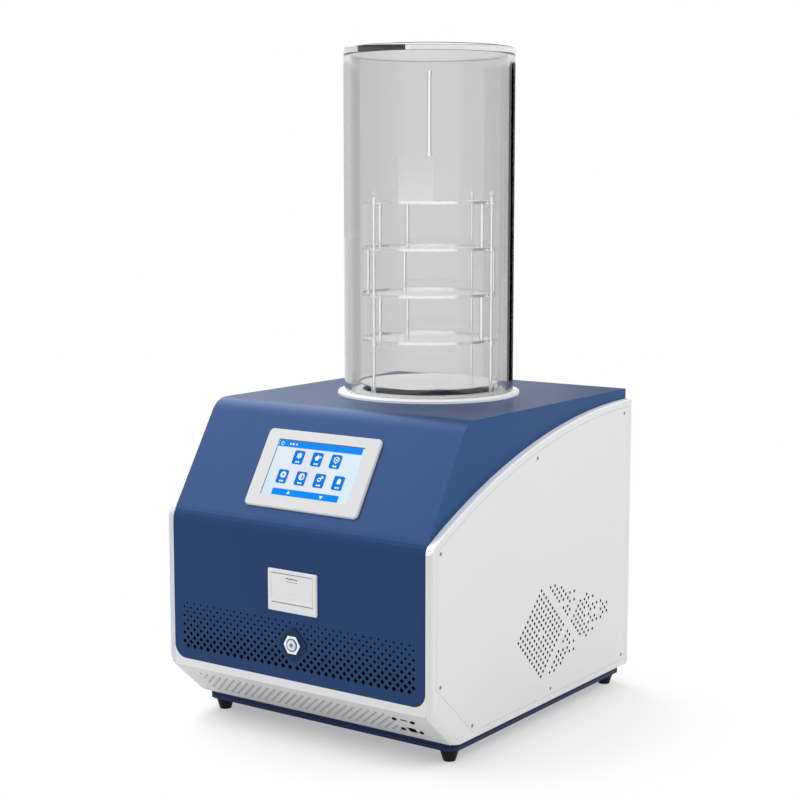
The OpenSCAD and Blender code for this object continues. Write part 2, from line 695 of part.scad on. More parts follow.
module base_seal() color("#dfe2e2") on_axis() translate([0, 0, groove_z]) rotate_extrude($fn = 128)
  polygon([[chamber_in - 1.5, 0], [chamber_r + 1.5, 0], [chamber_r + 1.5, seal_t],
    [chamber_in - 1.5, seal_t]]);

chamber_h = chamber_top_z - top_z;

module chamber_tube() color("#c8d2d8", 0.25) on_axis() translate([0, 0, tube_low]) difference() {
  cylinder(r = chamber_r, h = chamber_h - lid_t - tube_low, $fn = 128);
  translate([0, 0, -1]) cylinder(r = chamber_in, h = chamber_h, $fn = 128);
}

module chamber_lid() color("#c8d2d8", 0.25) on_axis() translate([0, 0, chamber_h - lid_t])
  rotate_extrude($fn = 128) polygon([[0, 0], [chamber_r, 0], [chamber_r, lid_t - 1],
    [chamber_r - 1, lid_t], [0, lid_t]]);

vacuum_r = vacuum_d / 2;
vacuum_pipe_r = vacuum_r + 1.5;

module cold_trap() color(steel) on_axis() difference() {
  union() {
    rotate_extrude($fn = 128) polygon([[0, -trap_depth - trap_wall], [trap_r, -trap_depth - trap_wall],
      [trap_r, 0], [trap_rim_r, 0], [trap_rim_r, trap_rim_t], [0, trap_rim_t]]);
    translate([0, 0, drain_low - top_z]) cylinder(r = 5, h = trap_depth, $fn = 32);
  }
  translate([0, 0, -trap_depth]) cylinder(r = trap_d / 2, h = trap_depth + 10, $fn = 128);
  translate([0, 0, drain_low - top_z - 1]) cylinder(r = 3, h = trap_depth, $fn = 32);
  translate([0, 0, vacuum_z - top_z]) bar_y(vacuum_r, trap_r + 10, $fn = 48);
}

coil_step = 15;
coil_r = (trap_r + coil_d / 2) / cos(coil_step / 2) + loose;
coil_low = -trap_depth + 12;
coil_high = vacuum_z - top_z - vacuum_pipe_r - coil_d / 2 - 5;
coil_tail = 110;

module evaporator_coil() color(copper) on_axis() bar_along(concat([[-coil_r, coil_tail, coil_low]],
  [for (a = [0:coil_step:360 * coil_turns]) [-coil_r * cos(a), -coil_r * sin(a),
    coil_low + (coil_high - coil_low) * a / (360 * coil_turns)]],
  [[coil_r, coil_tail, coil_high]]), coil_d / 2, 8);

foam_in = coil_r + coil_d / 2 + 1.5;
foam_r = foam_in + foam_t;
foam_floor = 22;

module trap_foam() color("#d9c98a") on_axis() difference() {
  translate([0, 0, -trap_depth - trap_wall - foam_floor])
    cylinder(r = foam_r, h = trap_depth + trap_wall + foam_floor - sheet, $fn = 96);
  translate([0, 0, -trap_depth - trap_wall]) cylinder(r = foam_in, h = trap_depth + 10, $fn = 96);
  translate([0, 0, -trap_depth - trap_wall - foam_floor - 1]) cylinder(r = 5 + loose, h = 60, $fn = 32);
  translate([0, 0, vacuum_z - top_z]) bar_y(vacuum_pipe_r + loose, foam_r + 10, $fn = 48);
  translate([-coil_r, 0, coil_low]) bar_y(coil_d / 2 + 1, foam_r, $fn = 32);
  translate([coil_r, 0, coil_high]) bar_y(coil_d / 2 + 1, foam_r, $fn = 32);
}

// ---- shelf rack ------------------------------------------------------------------------

// Angles about the axis, from +x; the posts leave the left side open for the shelves,
// whose ears they pass through
post_angles = [-104, 2.5, 84];
spacer_angles = [[177, 145, -4.5], [-160, 148, 35], [177, 145, -4.5]];
shelf_zs = [for (i = [0:3]) shelf_low + (3 - i) * shelf_pitch];
post_top = shelf_zs[0] + rim_h + 8;
spacer_circle = shelf_d / 2 - shelf_t - spacer_d / 2 - 0.6;
collar_h = 4;
ear_r = post_d / 2 + 2.6;

// Three lugs at a plate's edge, and the holes in them that the posts pass through
module ears() for (a = post_angles) rotate(a) {
  translate([post_circle_r - 8, -ear_r]) cube([8, 2 * ear_r, shelf_t]);
  translate([post_circle_r, 0]) cylinder(r = ear_r, h = shelf_t, $fn = 32);
}
module ear_holes() for (a = post_angles) rotate(a) translate([post_circle_r, 0, -1])
  cylinder(r = post_d / 2 + 0.1, h = rim_h + 4, $fn = 24);

module shelf(i) color(steel) on_axis() translate([0, 0, shelf_zs[i]]) difference() {
  union() {
    rotate_extrude($fn = 96) polygon([[0, 0], [shelf_d / 2, 0], [shelf_d / 2, rim_h],
      [shelf_d / 2 - shelf_t, rim_h], [shelf_d / 2 - shelf_t, shelf_t], [0, shelf_t]]);
    ears();
  }
  ear_holes();
}

module shelf_1() shelf(0);
module shelf_2() shelf(1);
module shelf_3() shelf(2);
module shelf_4() shelf(3);

// Flat plate over the cold trap, with an open gap under it for the vapour
module rack_base() color(steel) on_axis() translate([0, 0, dome_z + base_gap]) difference() {
  union() {
    cylinder(r = shelf_d / 2, h = shelf_t, $fn = 96);
    ears();
  }
  ear_holes();
}

// A post from the flange's collar to above the top shelf, with stops under the base plate and
// the lowest shelf
module rack_post(a) color("#cfd3d6") on_axis() rotate(a) translate([post_circle_r, 0, 0]) {
  translate([0, 0, dome_z]) cylinder(d = post_d, h = post_top - dome_z, $fn = 24);
  translate([0, 0, dome_z]) cylinder(d = post_d + 3, h = base_gap, $fn = 24);
  translate([0, 0, shelf_zs[3] - collar_h]) cylinder(d = post_d + 3.6, h = collar_h, $fn = 24);
  translate([0, 0, post_top + 2]) sphere(d = post_d + 3, $fn = 24);
}

module rack_post_1() rack_post(post_angles[0]);
module rack_post_2() rack_post(post_angles[1]);
module rack_post_3() rack_post(post_angles[2]);

module rack_spacers() color("#cfd3d6") on_axis() for (level = [0:2], a = spacer_angles[level]) rotate(a)
  translate([spacer_circle, 0, shelf_zs[level + 1] + shelf_t])
    cylinder(d = spacer_d, h = shelf_pitch - shelf_t, $fn = 24);

logger_w = 62;
logger_d = 72;
logger_h = 67;
antenna_r = 3;
antenna_l = 125;

module temperature_logger() color(white) on_axis() translate([0, 0, shelf_zs[0] + shelf_t]) difference() {
  linear_extrude(logger_h) polygon(box_outline(logger_w, logger_d, 2));
  translate([0, 0, logger_h - 3]) cylinder(r = antenna_r + run, h = 5, $fn = 32);
}

module logger_antenna() color("#a8acb0") on_axis() translate([0, 0, shelf_zs[0] + shelf_t + logger_h - 3]) {
  cylinder(r = antenna_r, h = antenna_l - 1, $fn = 32);
  translate([0, 0, 3]) cylinder(r = antenna_r + 1.6, h = 4, $fn = 32);
  translate([0, 0, antenna_l - 5]) cylinder(r = antenna_r + 0.8, h = 5, $fn = 32);
}

// ---- refrigeration ---------------------------------------------------------------------

comp_x = -88;
comp_y = axis_y + 40;
comp_r = 72;
comp_low = 14;
comp_h = 185;
suction_dx = -14;
pan_in = foot_h + pan_floor;
mount_dx = 62;
comp_z = pan_in + comp_low;
stub_z = comp_z + comp_h - 40;
comp_plate_w = 2 * mount_dx + 26;

module compressor() color("#202226") translate([comp_x, comp_y, comp_z]) {
  rotate_extrude($fn = 72) polygon(concat([[0, 3]],
    [for (a = [-90:15:0]) [comp_r - 22 + 22 * cos(a), 25 + 22 * sin(a)]],
    [[comp_r, 96], [comp_r + 3, 96], [comp_r + 3, 101], [comp_r, 101]],
    [for (a = [0:15:90]) [comp_r - 38 + 38 * cos(a), comp_h - 38 + 38 * sin(a)]], [[0, comp_h]]));
  linear_extrude(4) difference() {
    polygon(box_outline(comp_plate_w, comp_plate_w, 16));
    for (x = [-1, 1], y = [-1, 1]) translate([x * mount_dx, y * mount_dx]) circle(r = 6.3, $fn = 24);
  }
  translate([-24, -comp_r - 22, 40]) cube([48, 40, 44]);
  translate([comp_r - 10, 0, comp_h - 40]) bar_x(6, 20, $fn = 24);
  translate([suction_dx, comp_r - 12, comp_h - 40]) bar_y(7, 22, $fn = 24);
}

// Rubber grommets that hold the compressor's plate off the pan
module compressor_mounts() color("#17181a") for (x = [-1, 1], y = [-1, 1])
  translate([comp_x + x * mount_dx, comp_y + y * mount_dx, pan_in]) {
    cylinder(r = 10, h = comp_low, $fn = 32);
    cylinder(r = 6, h = comp_low + 6, $fn = 32);
  }

cond_x = half_in - 58;
cond_w = 44;
cond_y = 204;
cond_d = 256;
cond_h = 200;
cond_tubes = 8;
cond_tube_r = 4.5;
cond_pitch = 22;
cond_low_z = pan_in + 24;
fin_t = 0.8;
fins = 20;

function cond_z(i) = cond_low_z + i * cond_pitch;

// Serpentine tube through thin fins between two end plates
module condenser() color(copper) {
  for (i = [0:cond_tubes - 1]) translate([cond_x + cond_w / 2, cond_y - 6, cond_z(i)])
    bar_y(cond_tube_r, cond_d + 12 + (i == 0 || i == cond_tubes - 1 ? 6 : 0), $fn = 24);
  for (i = [0:cond_tubes - 2]) translate([cond_x + cond_w / 2, i % 2 == 0 ? cond_y - 6 : cond_y + cond_d + 6,
      cond_z(i) + cond_pitch / 2]) rotate([0, 90, 0]) rotate(i % 2 == 0 ? 180 : 0)
    rotate_extrude(angle = 180, $fn = 48) translate([cond_pitch / 2, 0]) circle(r = cond_tube_r, $fn = 24);
  for (i = [0:fins - 1])
    translate([cond_x, cond_y + 6 + i * (cond_d - 12 - fin_t) / (fins - 1), cond_low_z - 12])
    cube([cond_w, fin_t, cond_tubes * cond_pitch]);
  for (y = [cond_y, cond_y + cond_d - 1.5]) translate([cond_x, y, pan_in]) cube([cond_w, 1.5, cond_h]);
}

fan_r = 84;
fan_y = cond_y + cond_d / 2;
fan_z = pan_in + cond_h / 2;
shroud_t = 3;
shroud_l = 22;
hub_r = 22;
motor_r = 28;
motor_l = 42;
shaft_fan_r = 3;
spider_x = cond_x - shroud_t - shroud_l;

module fan_shroud() color("#2b2d30") difference() {
  union() {
    translate([cond_x - shroud_t, cond_y, pan_in]) cube([shroud_t, cond_d, cond_h]);
    translate([spider_x, fan_y, fan_z]) difference() {
      bar_x(fan_r + 6, shroud_l + 1, $fn = 96);
      translate([4, 0, 0]) bar_x(fan_r + 4, shroud_l + 2, $fn = 96);
      translate([-1, 0, 0]) difference() {
        bar_x(fan_r + 3, 6, $fn = 96);
        translate([-1, 0, 0]) bar_x(motor_r + 6, 8, $fn = 64);
        for (a = [0:90:270]) rotate([a + 45, 0, 0]) translate([-1, -5, 0]) cube([8, 10, fan_r + 4]);
      }
    }
  }
  translate([cond_x - shroud_t - 1, fan_y, fan_z]) bar_x(fan_r + 4, shroud_t + 2, $fn = 96);
  translate([spider_x - 1, fan_y, fan_z]) bar_x(shaft_fan_r + 4, 8, $fn = 32);
}

module fan_motor() color(steel) translate([spider_x, fan_y, fan_z]) {
  translate([-motor_l, 0, 0]) bar_x(motor_r, motor_l, $fn = 48);
  translate([-6, 0, 0]) bar_x(motor_r + 4, 6, $fn = 48);
  translate([-motor_l - 4, 0, 0]) bar_x(motor_r - 14, 5, $fn = 32);
  bar_x(shaft_fan_r, 19, $fn = 32);
}

module fan_rotor() color("#3a3c40") translate([spider_x + 5.5, fan_y, fan_z]) difference() {
  union() {
    bar_x(hub_r, 15, $fn = 48);
    intersection() {
      for (k = [0:4]) rotate([72 * k, 0, 0]) translate([7.5, 0, 0]) rotate([0, 0, 28])
        translate([-1, -24, 0]) cube([2, 48, fan_r]);
      bar_x(fan_r, 15, $fn = 96);
    }
  }
  translate([-1, 0, 0]) bar_x(shaft_fan_r + run, 15, $fn = 32);
}

suction_x = comp_x + suction_dx;
tail_y = axis_y + coil_tail + 0.2;
rear_run = rear_in - 22;
drier_z = 140;
drier_h = 110;
cond_out_y = cond_y + cond_d + 12.2;

// Suction, discharge and liquid lines, the last with its filter drier
module refrigerant_pipes() color(copper) {
  bar_along(bent_path([[-coil_r, tail_y, top_z + coil_low], [-coil_r, tail_y + 40, top_z + coil_low],
    [suction_x, tail_y + 40, stub_z], [suction_x, comp_y + comp_r + 10.2, stub_z]], 14), 4.5, 8);
  bar_along(bent_path([[comp_x + comp_r + 10.2, comp_y, stub_z], [comp_x + comp_r + 50, comp_y, stub_z],
    [comp_x + comp_r + 50, cond_out_y + 14, cond_z(cond_tubes - 1)],
    [cond_x + cond_w / 2, cond_out_y + 14, cond_z(cond_tubes - 1)],
    [cond_x + cond_w / 2, cond_out_y, cond_z(cond_tubes - 1)]], 10), 4, 8);
  bar_along(bent_path([[cond_x + cond_w / 2, cond_out_y, cond_z(0)],
    [cond_x + cond_w / 2, rear_run, cond_z(0)],
    [coil_r, rear_run, cond_z(0)], [coil_r, rear_run, drier_z + 2]], 12), 4, 8);
  translate([coil_r, rear_run, drier_z]) rotate_extrude($fn = 32) polygon([[0, 0], [5, 0], [12, 14],
    [12, drier_h - 14], [5, drier_h], [0, drier_h]]);
  bar_along(bent_path([[coil_r, rear_run, drier_z + drier_h - 2], [coil_r, rear_run, top_z + coil_high],
    [coil_r, tail_y, top_z + coil_high]], 14), 4, 8);
}

// ---- rear ------------------------------------------------------------------------------

inlet_x = -150;
inlet_z = 92;
outlet_x = -84;
switch_x = -22;
louvre_n = 9;
inlet_w = 27;
inlet_h = 20;
rocker_w = 22;
rocker_h = 14;

module rear_panel() color("#d9dbde") difference() {
  union() {
    forward(rear_face, sheet) translate([-half_in + sheet, pan_top])
      square([inner_w - 2 * sheet, top_z - sheet - pan_top]);
    translate([-half_in + sheet, rear_in - 10, pan_top]) cube([inner_w - 2 * sheet, 10.5, sheet]);
  }
  forward(rear_face + 1, 4) {
    translate([0, vacuum_z]) circle(r = vacuum_pipe_r + loose, $fn = 48);
    translate([inlet_x, inlet_z]) square([inlet_w + 2 * loose, inlet_h + 2 * loose], center = true);
    translate([outlet_x, inlet_z]) square([inlet_w + 2 * loose, inlet_h + 2 * loose], center = true);
    translate([switch_x, inlet_z])
      square([rocker_w + 4 + 2 * loose, rocker_h + 4 + 2 * loose], center = true);
    for (side = [-1, 1], i = [0:louvre_n - 1]) translate([side * 115, 170 + i * 22])
      square([110, 5], center = true);
  }
}

// Straight pipe from the trap's wall out through the rear panel to a clamp flange
module vacuum_port() color(steel) difference() {
  translate([0, axis_y, vacuum_z]) rotate([-90, 0, 0]) rotate_extrude($fn = 64) polygon([[vacuum_r, 0],
    [vacuum_pipe_r, 0], [vacuum_pipe_r, rear_face - axis_y + vacuum_out - 7],
    [vacuum_r + 7.5, rear_face - axis_y + vacuum_out - 3], [vacuum_r + 7.5, rear_face - axis_y + vacuum_out],
    [vacuum_r, rear_face - axis_y + vacuum_out]]);
  on_axis() translate([0, 0, -trap_depth]) cylinder(r = trap_r + 0.15, h = trap_depth, $fn = 128);
}

// Outline extruded outward (+y) from the rear panel's outer face
module outward(y, t) translate([0, y + t, 0]) rotate([90, 0, 0]) linear_extrude(t) children();

module power_inlet() color("#17181a") translate([inlet_x, rear_face, inlet_z]) {
  difference() {
    union() {
      outward(0, 3) polygon(box_outline(50, 26, 5));
      outward(-30, 31) square([inlet_w, inlet_h], center = true);
    }
    outward(-22, 30)
      polygon(rounded([[-12, -8, 1], [12, -8, 1], [12, 4, 1], [8, 8, 1], [-8, 8, 1], [-12, 4, 1]]));
  }
  for (p = [[-7, -2], [0, 2], [7, -2]]) translate([p[0] - 1, -23, p[1] - 2]) cube([2, 16, 4]);
}

module pump_outlet() color("#17181a") translate([outlet_x, rear_face, inlet_z]) difference() {
  union() {
    outward(0, 3) polygon(box_outline(50, 26, 5));
    outward(-30, 31) square([inlet_w, inlet_h], center = true);
  }
  for (p = [[-7, -2], [0, 2], [7, -2]]) translate([p[0] - 1.4, -18, p[1] - 2.6]) cube([2.8, 30, 5.2]);
}

rocker_tilt = 7;
rocker_pivot = -3;

module switch_frame() color("#17181a") translate([switch_x, rear_face, inlet_z]) difference() {
  union() {
    outward(0, 2) polygon(box_outline(rocker_w + 9, rocker_h + 9, 2));
    outward(-22, 23) square([rocker_w + 4, rocker_h + 4], center = true);
  }
  outward(-12, 20) square([rocker_w + 0.6, rocker_h + 1.6], center = true);
  translate([-rocker_w / 2 - 1.3, rocker_pivot, 0]) bar_x(1 + run, rocker_w + 2.6, $fn = 24);
}

module switch_rocker() color("#b3282d") translate([switch_x, rear_face + rocker_pivot, inlet_z])
  rotate([rocker_tilt, 0, 0]) {
    side_extrude(-rocker_w / 2, rocker_w) polygon([[-5, -3], [1, -6.6], [6.4, -6.6], [5.2, 0],
      [6.4, 6.6], [1, 6.6], [-5, 3]]);
    translate([-rocker_w / 2 - 1.1, 0, 0]) bar_x(1, rocker_w + 2.2, $fn = 24);
  }

// ---- placing ---------------------------------------------------------------------------

front_reach = port_plate_t + hex_t + collar_out;
rear_reach = rear_face + vacuum_out;

module place() translate([0, (front_reach - rear_reach) / 2, 0]) children();

place() base_pan();
place() foot_front_left();
place() foot_front_right();
place() foot_rear_left();
place() foot_rear_right();
place() cover();
place() side_shell_left();
place() side_shell_right();
place() side_panel_left();
place() side_panel_right();
place() panel_screws();
place() skirt();
place() usb_socket();
place() data_socket();
place() socket_screws();
place() rear_panel();
place() screen_bezel();
place() screen_glass();
place() screen_case();
place() control_board();
place() printer_bezel();
place() printer_case();
place() printer_door();
place() door_latch();
place() platen_roller();
place() paper_roll();
place() port_plate();
place() port_body();
place() release_collar();
place() drain_hose();
place() flange_ring();
place() base_seal();
place() chamber_tube();
place() chamber_lid();
place() cold_trap();
place() evaporator_coil();
place() trap_foam();
place() shelf_1();
place() shelf_2();
place() shelf_3();
place() shelf_4();
place() rack_base();
place() rack_post_1();
place() rack_post_2();
place() rack_post_3();
place() rack_spacers();
place() temperature_logger();
place() logger_antenna();
place() compressor();
place() compressor_mounts();
place() condenser();
place() fan_shroud();
place() fan_motor();
place() fan_rotor();
place() refrigerant_pipes();
place() vacuum_port();
place() power_inlet();
place() switch_frame();
place() switch_rocker();
place() pump_outlet();
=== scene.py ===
# %% [markdown]
# # A bench-top freeze dryer
# The CAD model is loaded first, as a fixed frame. Everything that follows either gives one of its
# pieces a finish or adds a piece that belongs on it, at the place that the frame gives.

# %% Load the frame
import bpy
from math import radians, sin, cos, tan, pi
from mathutils import Matrix, Vector


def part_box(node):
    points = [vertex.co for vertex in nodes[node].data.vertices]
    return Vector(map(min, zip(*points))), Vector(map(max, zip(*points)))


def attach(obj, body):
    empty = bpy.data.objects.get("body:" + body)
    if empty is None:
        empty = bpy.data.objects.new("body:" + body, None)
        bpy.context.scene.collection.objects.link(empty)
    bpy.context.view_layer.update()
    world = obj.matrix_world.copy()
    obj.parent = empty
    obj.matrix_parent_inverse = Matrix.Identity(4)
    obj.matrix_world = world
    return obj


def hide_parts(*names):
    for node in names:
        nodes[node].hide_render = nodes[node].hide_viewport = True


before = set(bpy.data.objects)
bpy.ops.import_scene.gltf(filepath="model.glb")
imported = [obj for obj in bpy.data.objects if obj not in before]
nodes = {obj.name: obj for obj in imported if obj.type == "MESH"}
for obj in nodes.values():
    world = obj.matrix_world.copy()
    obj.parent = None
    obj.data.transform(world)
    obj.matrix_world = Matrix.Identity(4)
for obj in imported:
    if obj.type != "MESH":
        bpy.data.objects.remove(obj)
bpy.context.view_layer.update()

# %% [markdown]
# ## Places that several steps share
# A box gives the lowest and highest corner of a piece. For the slanted face a box isn't enough, so
# a second helper measures how far a piece reaches along any direction. With it the display's glass
# tells where its own outer face is, and where that face begins and ends going up the slant.

# %% Shared places
MM = 0.001
SLANT = radians(32)
SLANT_UP = Vector((0, sin(SLANT), cos(SLANT)))
SLANT_OUT = Vector((0, -cos(SLANT), sin(SLANT)))
scene = bpy.context.scene


def middle(node):
    """The middle of a CAD piece's box."""
    low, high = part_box(node)
    return (Vector(low) + Vector(high)) / 2


def reach(node, direction):
    """How far a CAD piece reaches along a direction, lowest and highest."""
    along = [point.co.dot(direction) for point in nodes[node].data.vertices]
    return min(along), max(along)


front_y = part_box("skirt")[0][1]
glass_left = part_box("screen_glass")[0][0]
glass_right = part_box("screen_glass")[1][0]
glass_low, glass_high = reach("screen_glass", SLANT_UP)
glass_face = reach("screen_glass", SLANT_OUT)[1]
tube_axis = middle("chamber_tube")
print("front face at y =", round(front_y, 4))
print("glass from", round(glass_low, 4), "to", round(glass_high, 4), "up the slant")

# %% [markdown]
# ## Camera
# A long lens from the front right, with its height near the top of the chamber, gives the almost
# parallel sides of a studio picture.

# %% Camera
AZIMUTH, ELEVATION = radians(35.297), radians(7.344)
STANDS_RIGHT, STANDS_AHEAD, STANDS_HIGH = 1.4035, 1.7322, 0.7674
camera_data = bpy.data.cameras.new("camera")
camera_data.lens = 75.84
camera_data.sensor_width = 36
camera_data.clip_end = 50
camera = bpy.data.objects.new("camera", camera_data)
camera.location = (STANDS_RIGHT, front_y - STANDS_AHEAD, STANDS_HIGH)
camera.rotation_euler = (pi / 2 - ELEVATION, 0, AZIMUTH)
scene.collection.objects.link(camera)
scene.camera = camera
print("camera stands at", tuple(round(c, 3) for c in camera.location))


# %% [markdown]
# ## Helpers for node trees
# Every material here is a small tree of nodes. These helpers make one node each and fill its
# inputs. An input takes a plain value, or the output of another node, and then it gets a link.

# %% Node helpers
def fill(node, inputs):
    """Fill a node's inputs with plain values, or link them to outputs of other nodes."""
    for name, value in inputs.items():
        if isinstance(value, bpy.types.NodeSocket):
            node.id_data.links.new(value, node.inputs[name])
        else:
            node.inputs[name].default_value = value


def add_node(tree, kind, inputs=None, **options):
    """A new node with its options set and its inputs filled."""
    node = tree.nodes.new("ShaderNode" + kind)
    for option, choice in options.items():
        setattr(node, option, choice)
    fill(node, inputs or {})
    return node


def calculate(tree, operation, *values):
    """The result of one operation on numbers."""
    return add_node(tree, "Math", dict(enumerate(values)), operation=operation).outputs[0]


def amount_along(tree, vector, direction):
    """How far a vector goes along a direction."""
    product = add_node(tree, "VectorMath", {0: vector, 1: direction}, operation="DOT_PRODUCT")
    return product.outputs["Value"]


def mix_colors(tree, factor, first, second):
    """The first colour where the factor is 0, and the second where it is 1."""
    inputs = {"Factor": factor, "A": first, "B": second}
    return add_node(tree, "Mix", inputs, data_type="RGBA").outputs["Result"]


def mix_shaders(tree, factor, first, second):
    """The first shader where the factor is 0, and the second where it is 1."""
    inputs = {0: factor, 1: first.outputs[0], 2: second.outputs[0]}
    return add_node(tree, "MixShader", inputs).outputs[0]


def new_material(name):
    """A new material with its tree, its shader and its output."""
    mat = bpy.data.materials.new(name)
    mat.use_nodes = True
    tree = mat.node_tree
    return mat, tree, tree.nodes["Principled BSDF"], tree.nodes["Material Output"]


def grey(level):
    """A colour with no hue."""
    return (level, level, level)


# %% [markdown]
# ## Studio
# The world has two levels. The camera, polished metal and clear acrylic see a white surround, and
# everything else gets a dimmer even light, so that white mouldings keep their shading.

# %% World
def background_rays(tree):
    """1 for camera, glossy and transmission rays, and 0 for all others."""
    path = add_node(tree, "LightPath")
    rays = path.outputs["Is Camera Ray"]
    for kind in ("Is Glossy Ray", "Is Transmission Ray"):
        rays = calculate(tree, "MAXIMUM", rays, path.outputs[kind])
    return rays


EVEN_LEVEL = 0.485
scene.view_settings.view_transform = "Standard"
world = bpy.data.worlds.new("studio")
scene.world = world
world.use_nodes = True
tree = world.node_tree
tree.nodes.clear()
surround = add_node(tree, "Background", {"Color": (1, 1, 1, 1), "Strength": 1})
even_light = add_node(tree, "Background", {"Color": (0.97, 0.98, 1, 1), "Strength": EVEN_LEVEL})
chosen = mix_shaders(tree, background_rays(tree), even_light, surround)
add_node(tree, "OutputWorld", {"Surface": chosen})
print("world:", world.name, "with even light at", EVEN_LEVEL)


# %% [markdown]
# One large softbox stands high at the front left. Seen in the gloss of the paint, it brightens the
# slanted face and misses the upright front, and one overhead does the same for the bend above it.
# A third fills the right side from slightly behind, so that it doesn't reach the front, and a
# fourth, high at the front right, reaches the white edge that the blue cover shades from the left.
# These two are kept out of reflections, where they would draw white stripes on the chamber.

# %% Softboxes
LAMP_AIM = Vector((0, 0, 0.35))
LAMP_DISTANCE = 2.6


def softbox(name, towards, size, power, mirrored=True):
    """A square lamp that stands in the given direction from its aim and faces it."""
    data = bpy.data.lights.new(name, "AREA")
    data.energy = power
    data.size = size
    lamp = bpy.data.objects.new(name, data)
    lamp.location = LAMP_AIM + Vector(towards).normalized() * LAMP_DISTANCE
    lamp.rotation_euler = Vector(towards).to_track_quat("Z", "Y").to_euler()
    lamp.visible_camera = False
    lamp.visible_transmission = False
    lamp.visible_glossy = mirrored
    scene.collection.objects.link(lamp)
    print(name, "of", size, "m with", power, "W")


softbox("high_left_softbox", (-0.573, -0.469, 0.672), 1.8, 28)
softbox("overhead_softbox", (-0.573, 0.24, 0.78), 2.0, 40)
softbox("right_softbox", (0.86, 0.17, 0.52), 1.6, 16, mirrored=False)
softbox("high_right_softbox", (0.62, -0.25, 0.74), 1.2, 13.5, mirrored=False)

# %% [markdown]
# ## Floor
# The floor is white at a distance, where it meets the white surround without a horizon. Near the
# object part of it is a plain pale surface, which takes the object's shadow. The change is a ramp
# on the distance from the middle, in the floor's own coordinates.

# %% Floor
FLOOR_RADIUS = 9
PALE_OUT_TO, WHITE_FROM = 0.28, 0.5
LEAST_WHITE = 0.4
bpy.ops.object.select_all(action="DESELECT")
bpy.ops.mesh.primitive_circle_add(vertices=96, radius=FLOOR_RADIUS, fill_type="NGON",
                                  location=(0, 0, 0))
floor = bpy.context.object
floor.name = "studio_floor"
floor_mat, tree, paint, output = new_material("pale_floor")
fill(paint, {"Base Color": (0.97, 0.97, 0.97, 1), "Roughness": 0.8, "Specular IOR Level": 0.1})
where = add_node(tree, "TexCoord").outputs["Object"]
away = add_node(tree, "VectorMath", {0: where}, operation="LENGTH").outputs["Value"]
fade = add_node(tree, "MapRange", {
    "Value": away, "From Min": PALE_OUT_TO, "From Max": WHITE_FROM, "To Min": LEAST_WHITE,
}, interpolation_type="SMOOTHSTEP")
seen = calculate(tree, "MULTIPLY", background_rays(tree), fade.outputs["Result"])
glow = add_node(tree, "Emission", {"Strength": 1})
fill(output, {"Surface": mix_shaders(tree, seen, paint, glow)})
floor.data.materials.append(floor_mat)
print("floor:", floor.name, "white from", WHITE_FROM, "m")

# %% [markdown]
# ## Cards for the clear chamber
# Clear acrylic shows mostly what it reflects. A studio stands black, grey and white cards round
# it, so that its edges darken and get a fine line against the white surround. Each card stands at
# a turn round the chamber's axis, and only mirrored light and light through the acrylic meet it.
#
# Light crosses a wall's skin each time it goes in or out. What goes right through the chamber
# crosses four skins, and what turns back inside one wall crosses two. So a card can be kept for
# one kind of light, by how many skins that light has crossed and whether anything mirrored it:
#
# - skin: mirrored by a wall. It draws the fine dark line at the edge and leaves the steel alone.
# - inside: mirrored by the steel inside. It draws white lines down the posts and the shelves.
# - through: all that comes through the chamber. It greys one side of it.
# - outside: mirrored before any wall. It lifts the gloss of the cover's right side.

# %% Glow of a card
SEEN_BY = {
    "skin": ("LESS_THAN", 2.5, 0.5),
    "inside": ("GREATER_THAN", 2.5, 0.5),
    "through": ("GREATER_THAN", 2.5, -0.5),
    "outside": ("LESS_THAN", 0.5, 0.5),
}


def card_material(name, level, seen):
    """An even glow, for all light or for one kind of it."""
    mat, tree, _, output = new_material(name)
    glow = add_node(tree, "Emission", {"Color": (1, 1, 1, 1), "Strength": level})
    if seen in SEEN_BY:
        comparison, skins, mirrors = SEEN_BY[seen]
        path = add_node(tree, "LightPath")
        crossed = calculate(tree, comparison, path.outputs["Transmission Depth"], skins)
        mirrored = calculate(tree, "GREATER_THAN", path.outputs["Glossy Depth"], mirrors)
        meets = calculate(tree, "MULTIPLY", crossed, mirrored)
        gone = add_node(tree, "BsdfTransparent")
        fill(output, {"Surface": mix_shaders(tree, meets, gone, glow)})
    else:
        fill(output, {"Surface": glow.outputs[0]})
    return mat


# %% [markdown]
# A card is an upright plane that faces the chamber. Most cards end just above the chamber's height.
# The tall ones reach further up, so that no edge of theirs shows through the tube in any view.

# %% Standing a card
CARD_LOW, CARD_HIGH, CARD_TALL = 0.06, 1.12, 2.4
CARD_NEAR, CARD_FAR = 2.6, 2.8


def card(name, first, last, level, low=CARD_LOW, high=CARD_HIGH, seen="all", distance=CARD_NEAR):
    """An upright card from one turn to another, in degrees, with an even grey level."""
    turn = radians((first + last) / 2)
    width = 2 * distance * tan(radians(abs(last - first) / 2))
    bpy.ops.object.select_all(action="DESELECT")
    bpy.ops.mesh.primitive_plane_add(size=1, location=(
        tube_axis.x + distance * cos(turn), tube_axis.y + distance * sin(turn), (low + high) / 2))
    board = bpy.context.object
    board.name = name
    board.scale = (width, high - low, 1)
    board.rotation_euler = (pi / 2, 0, turn + pi / 2)
    board.data.materials.append(card_material(name, level, seen))
    for kind in ("camera", "diffuse", "shadow"):
        setattr(board, "visible_" + kind, False)


# %% [markdown]
# The turns run from the right (0 degrees) over the back (90) to the left (180) and the front (270).
# The lid mirrors the upper part of what stands at the left and the tube mirrors the lower part, so
# the two have their own cards there, split at one height.

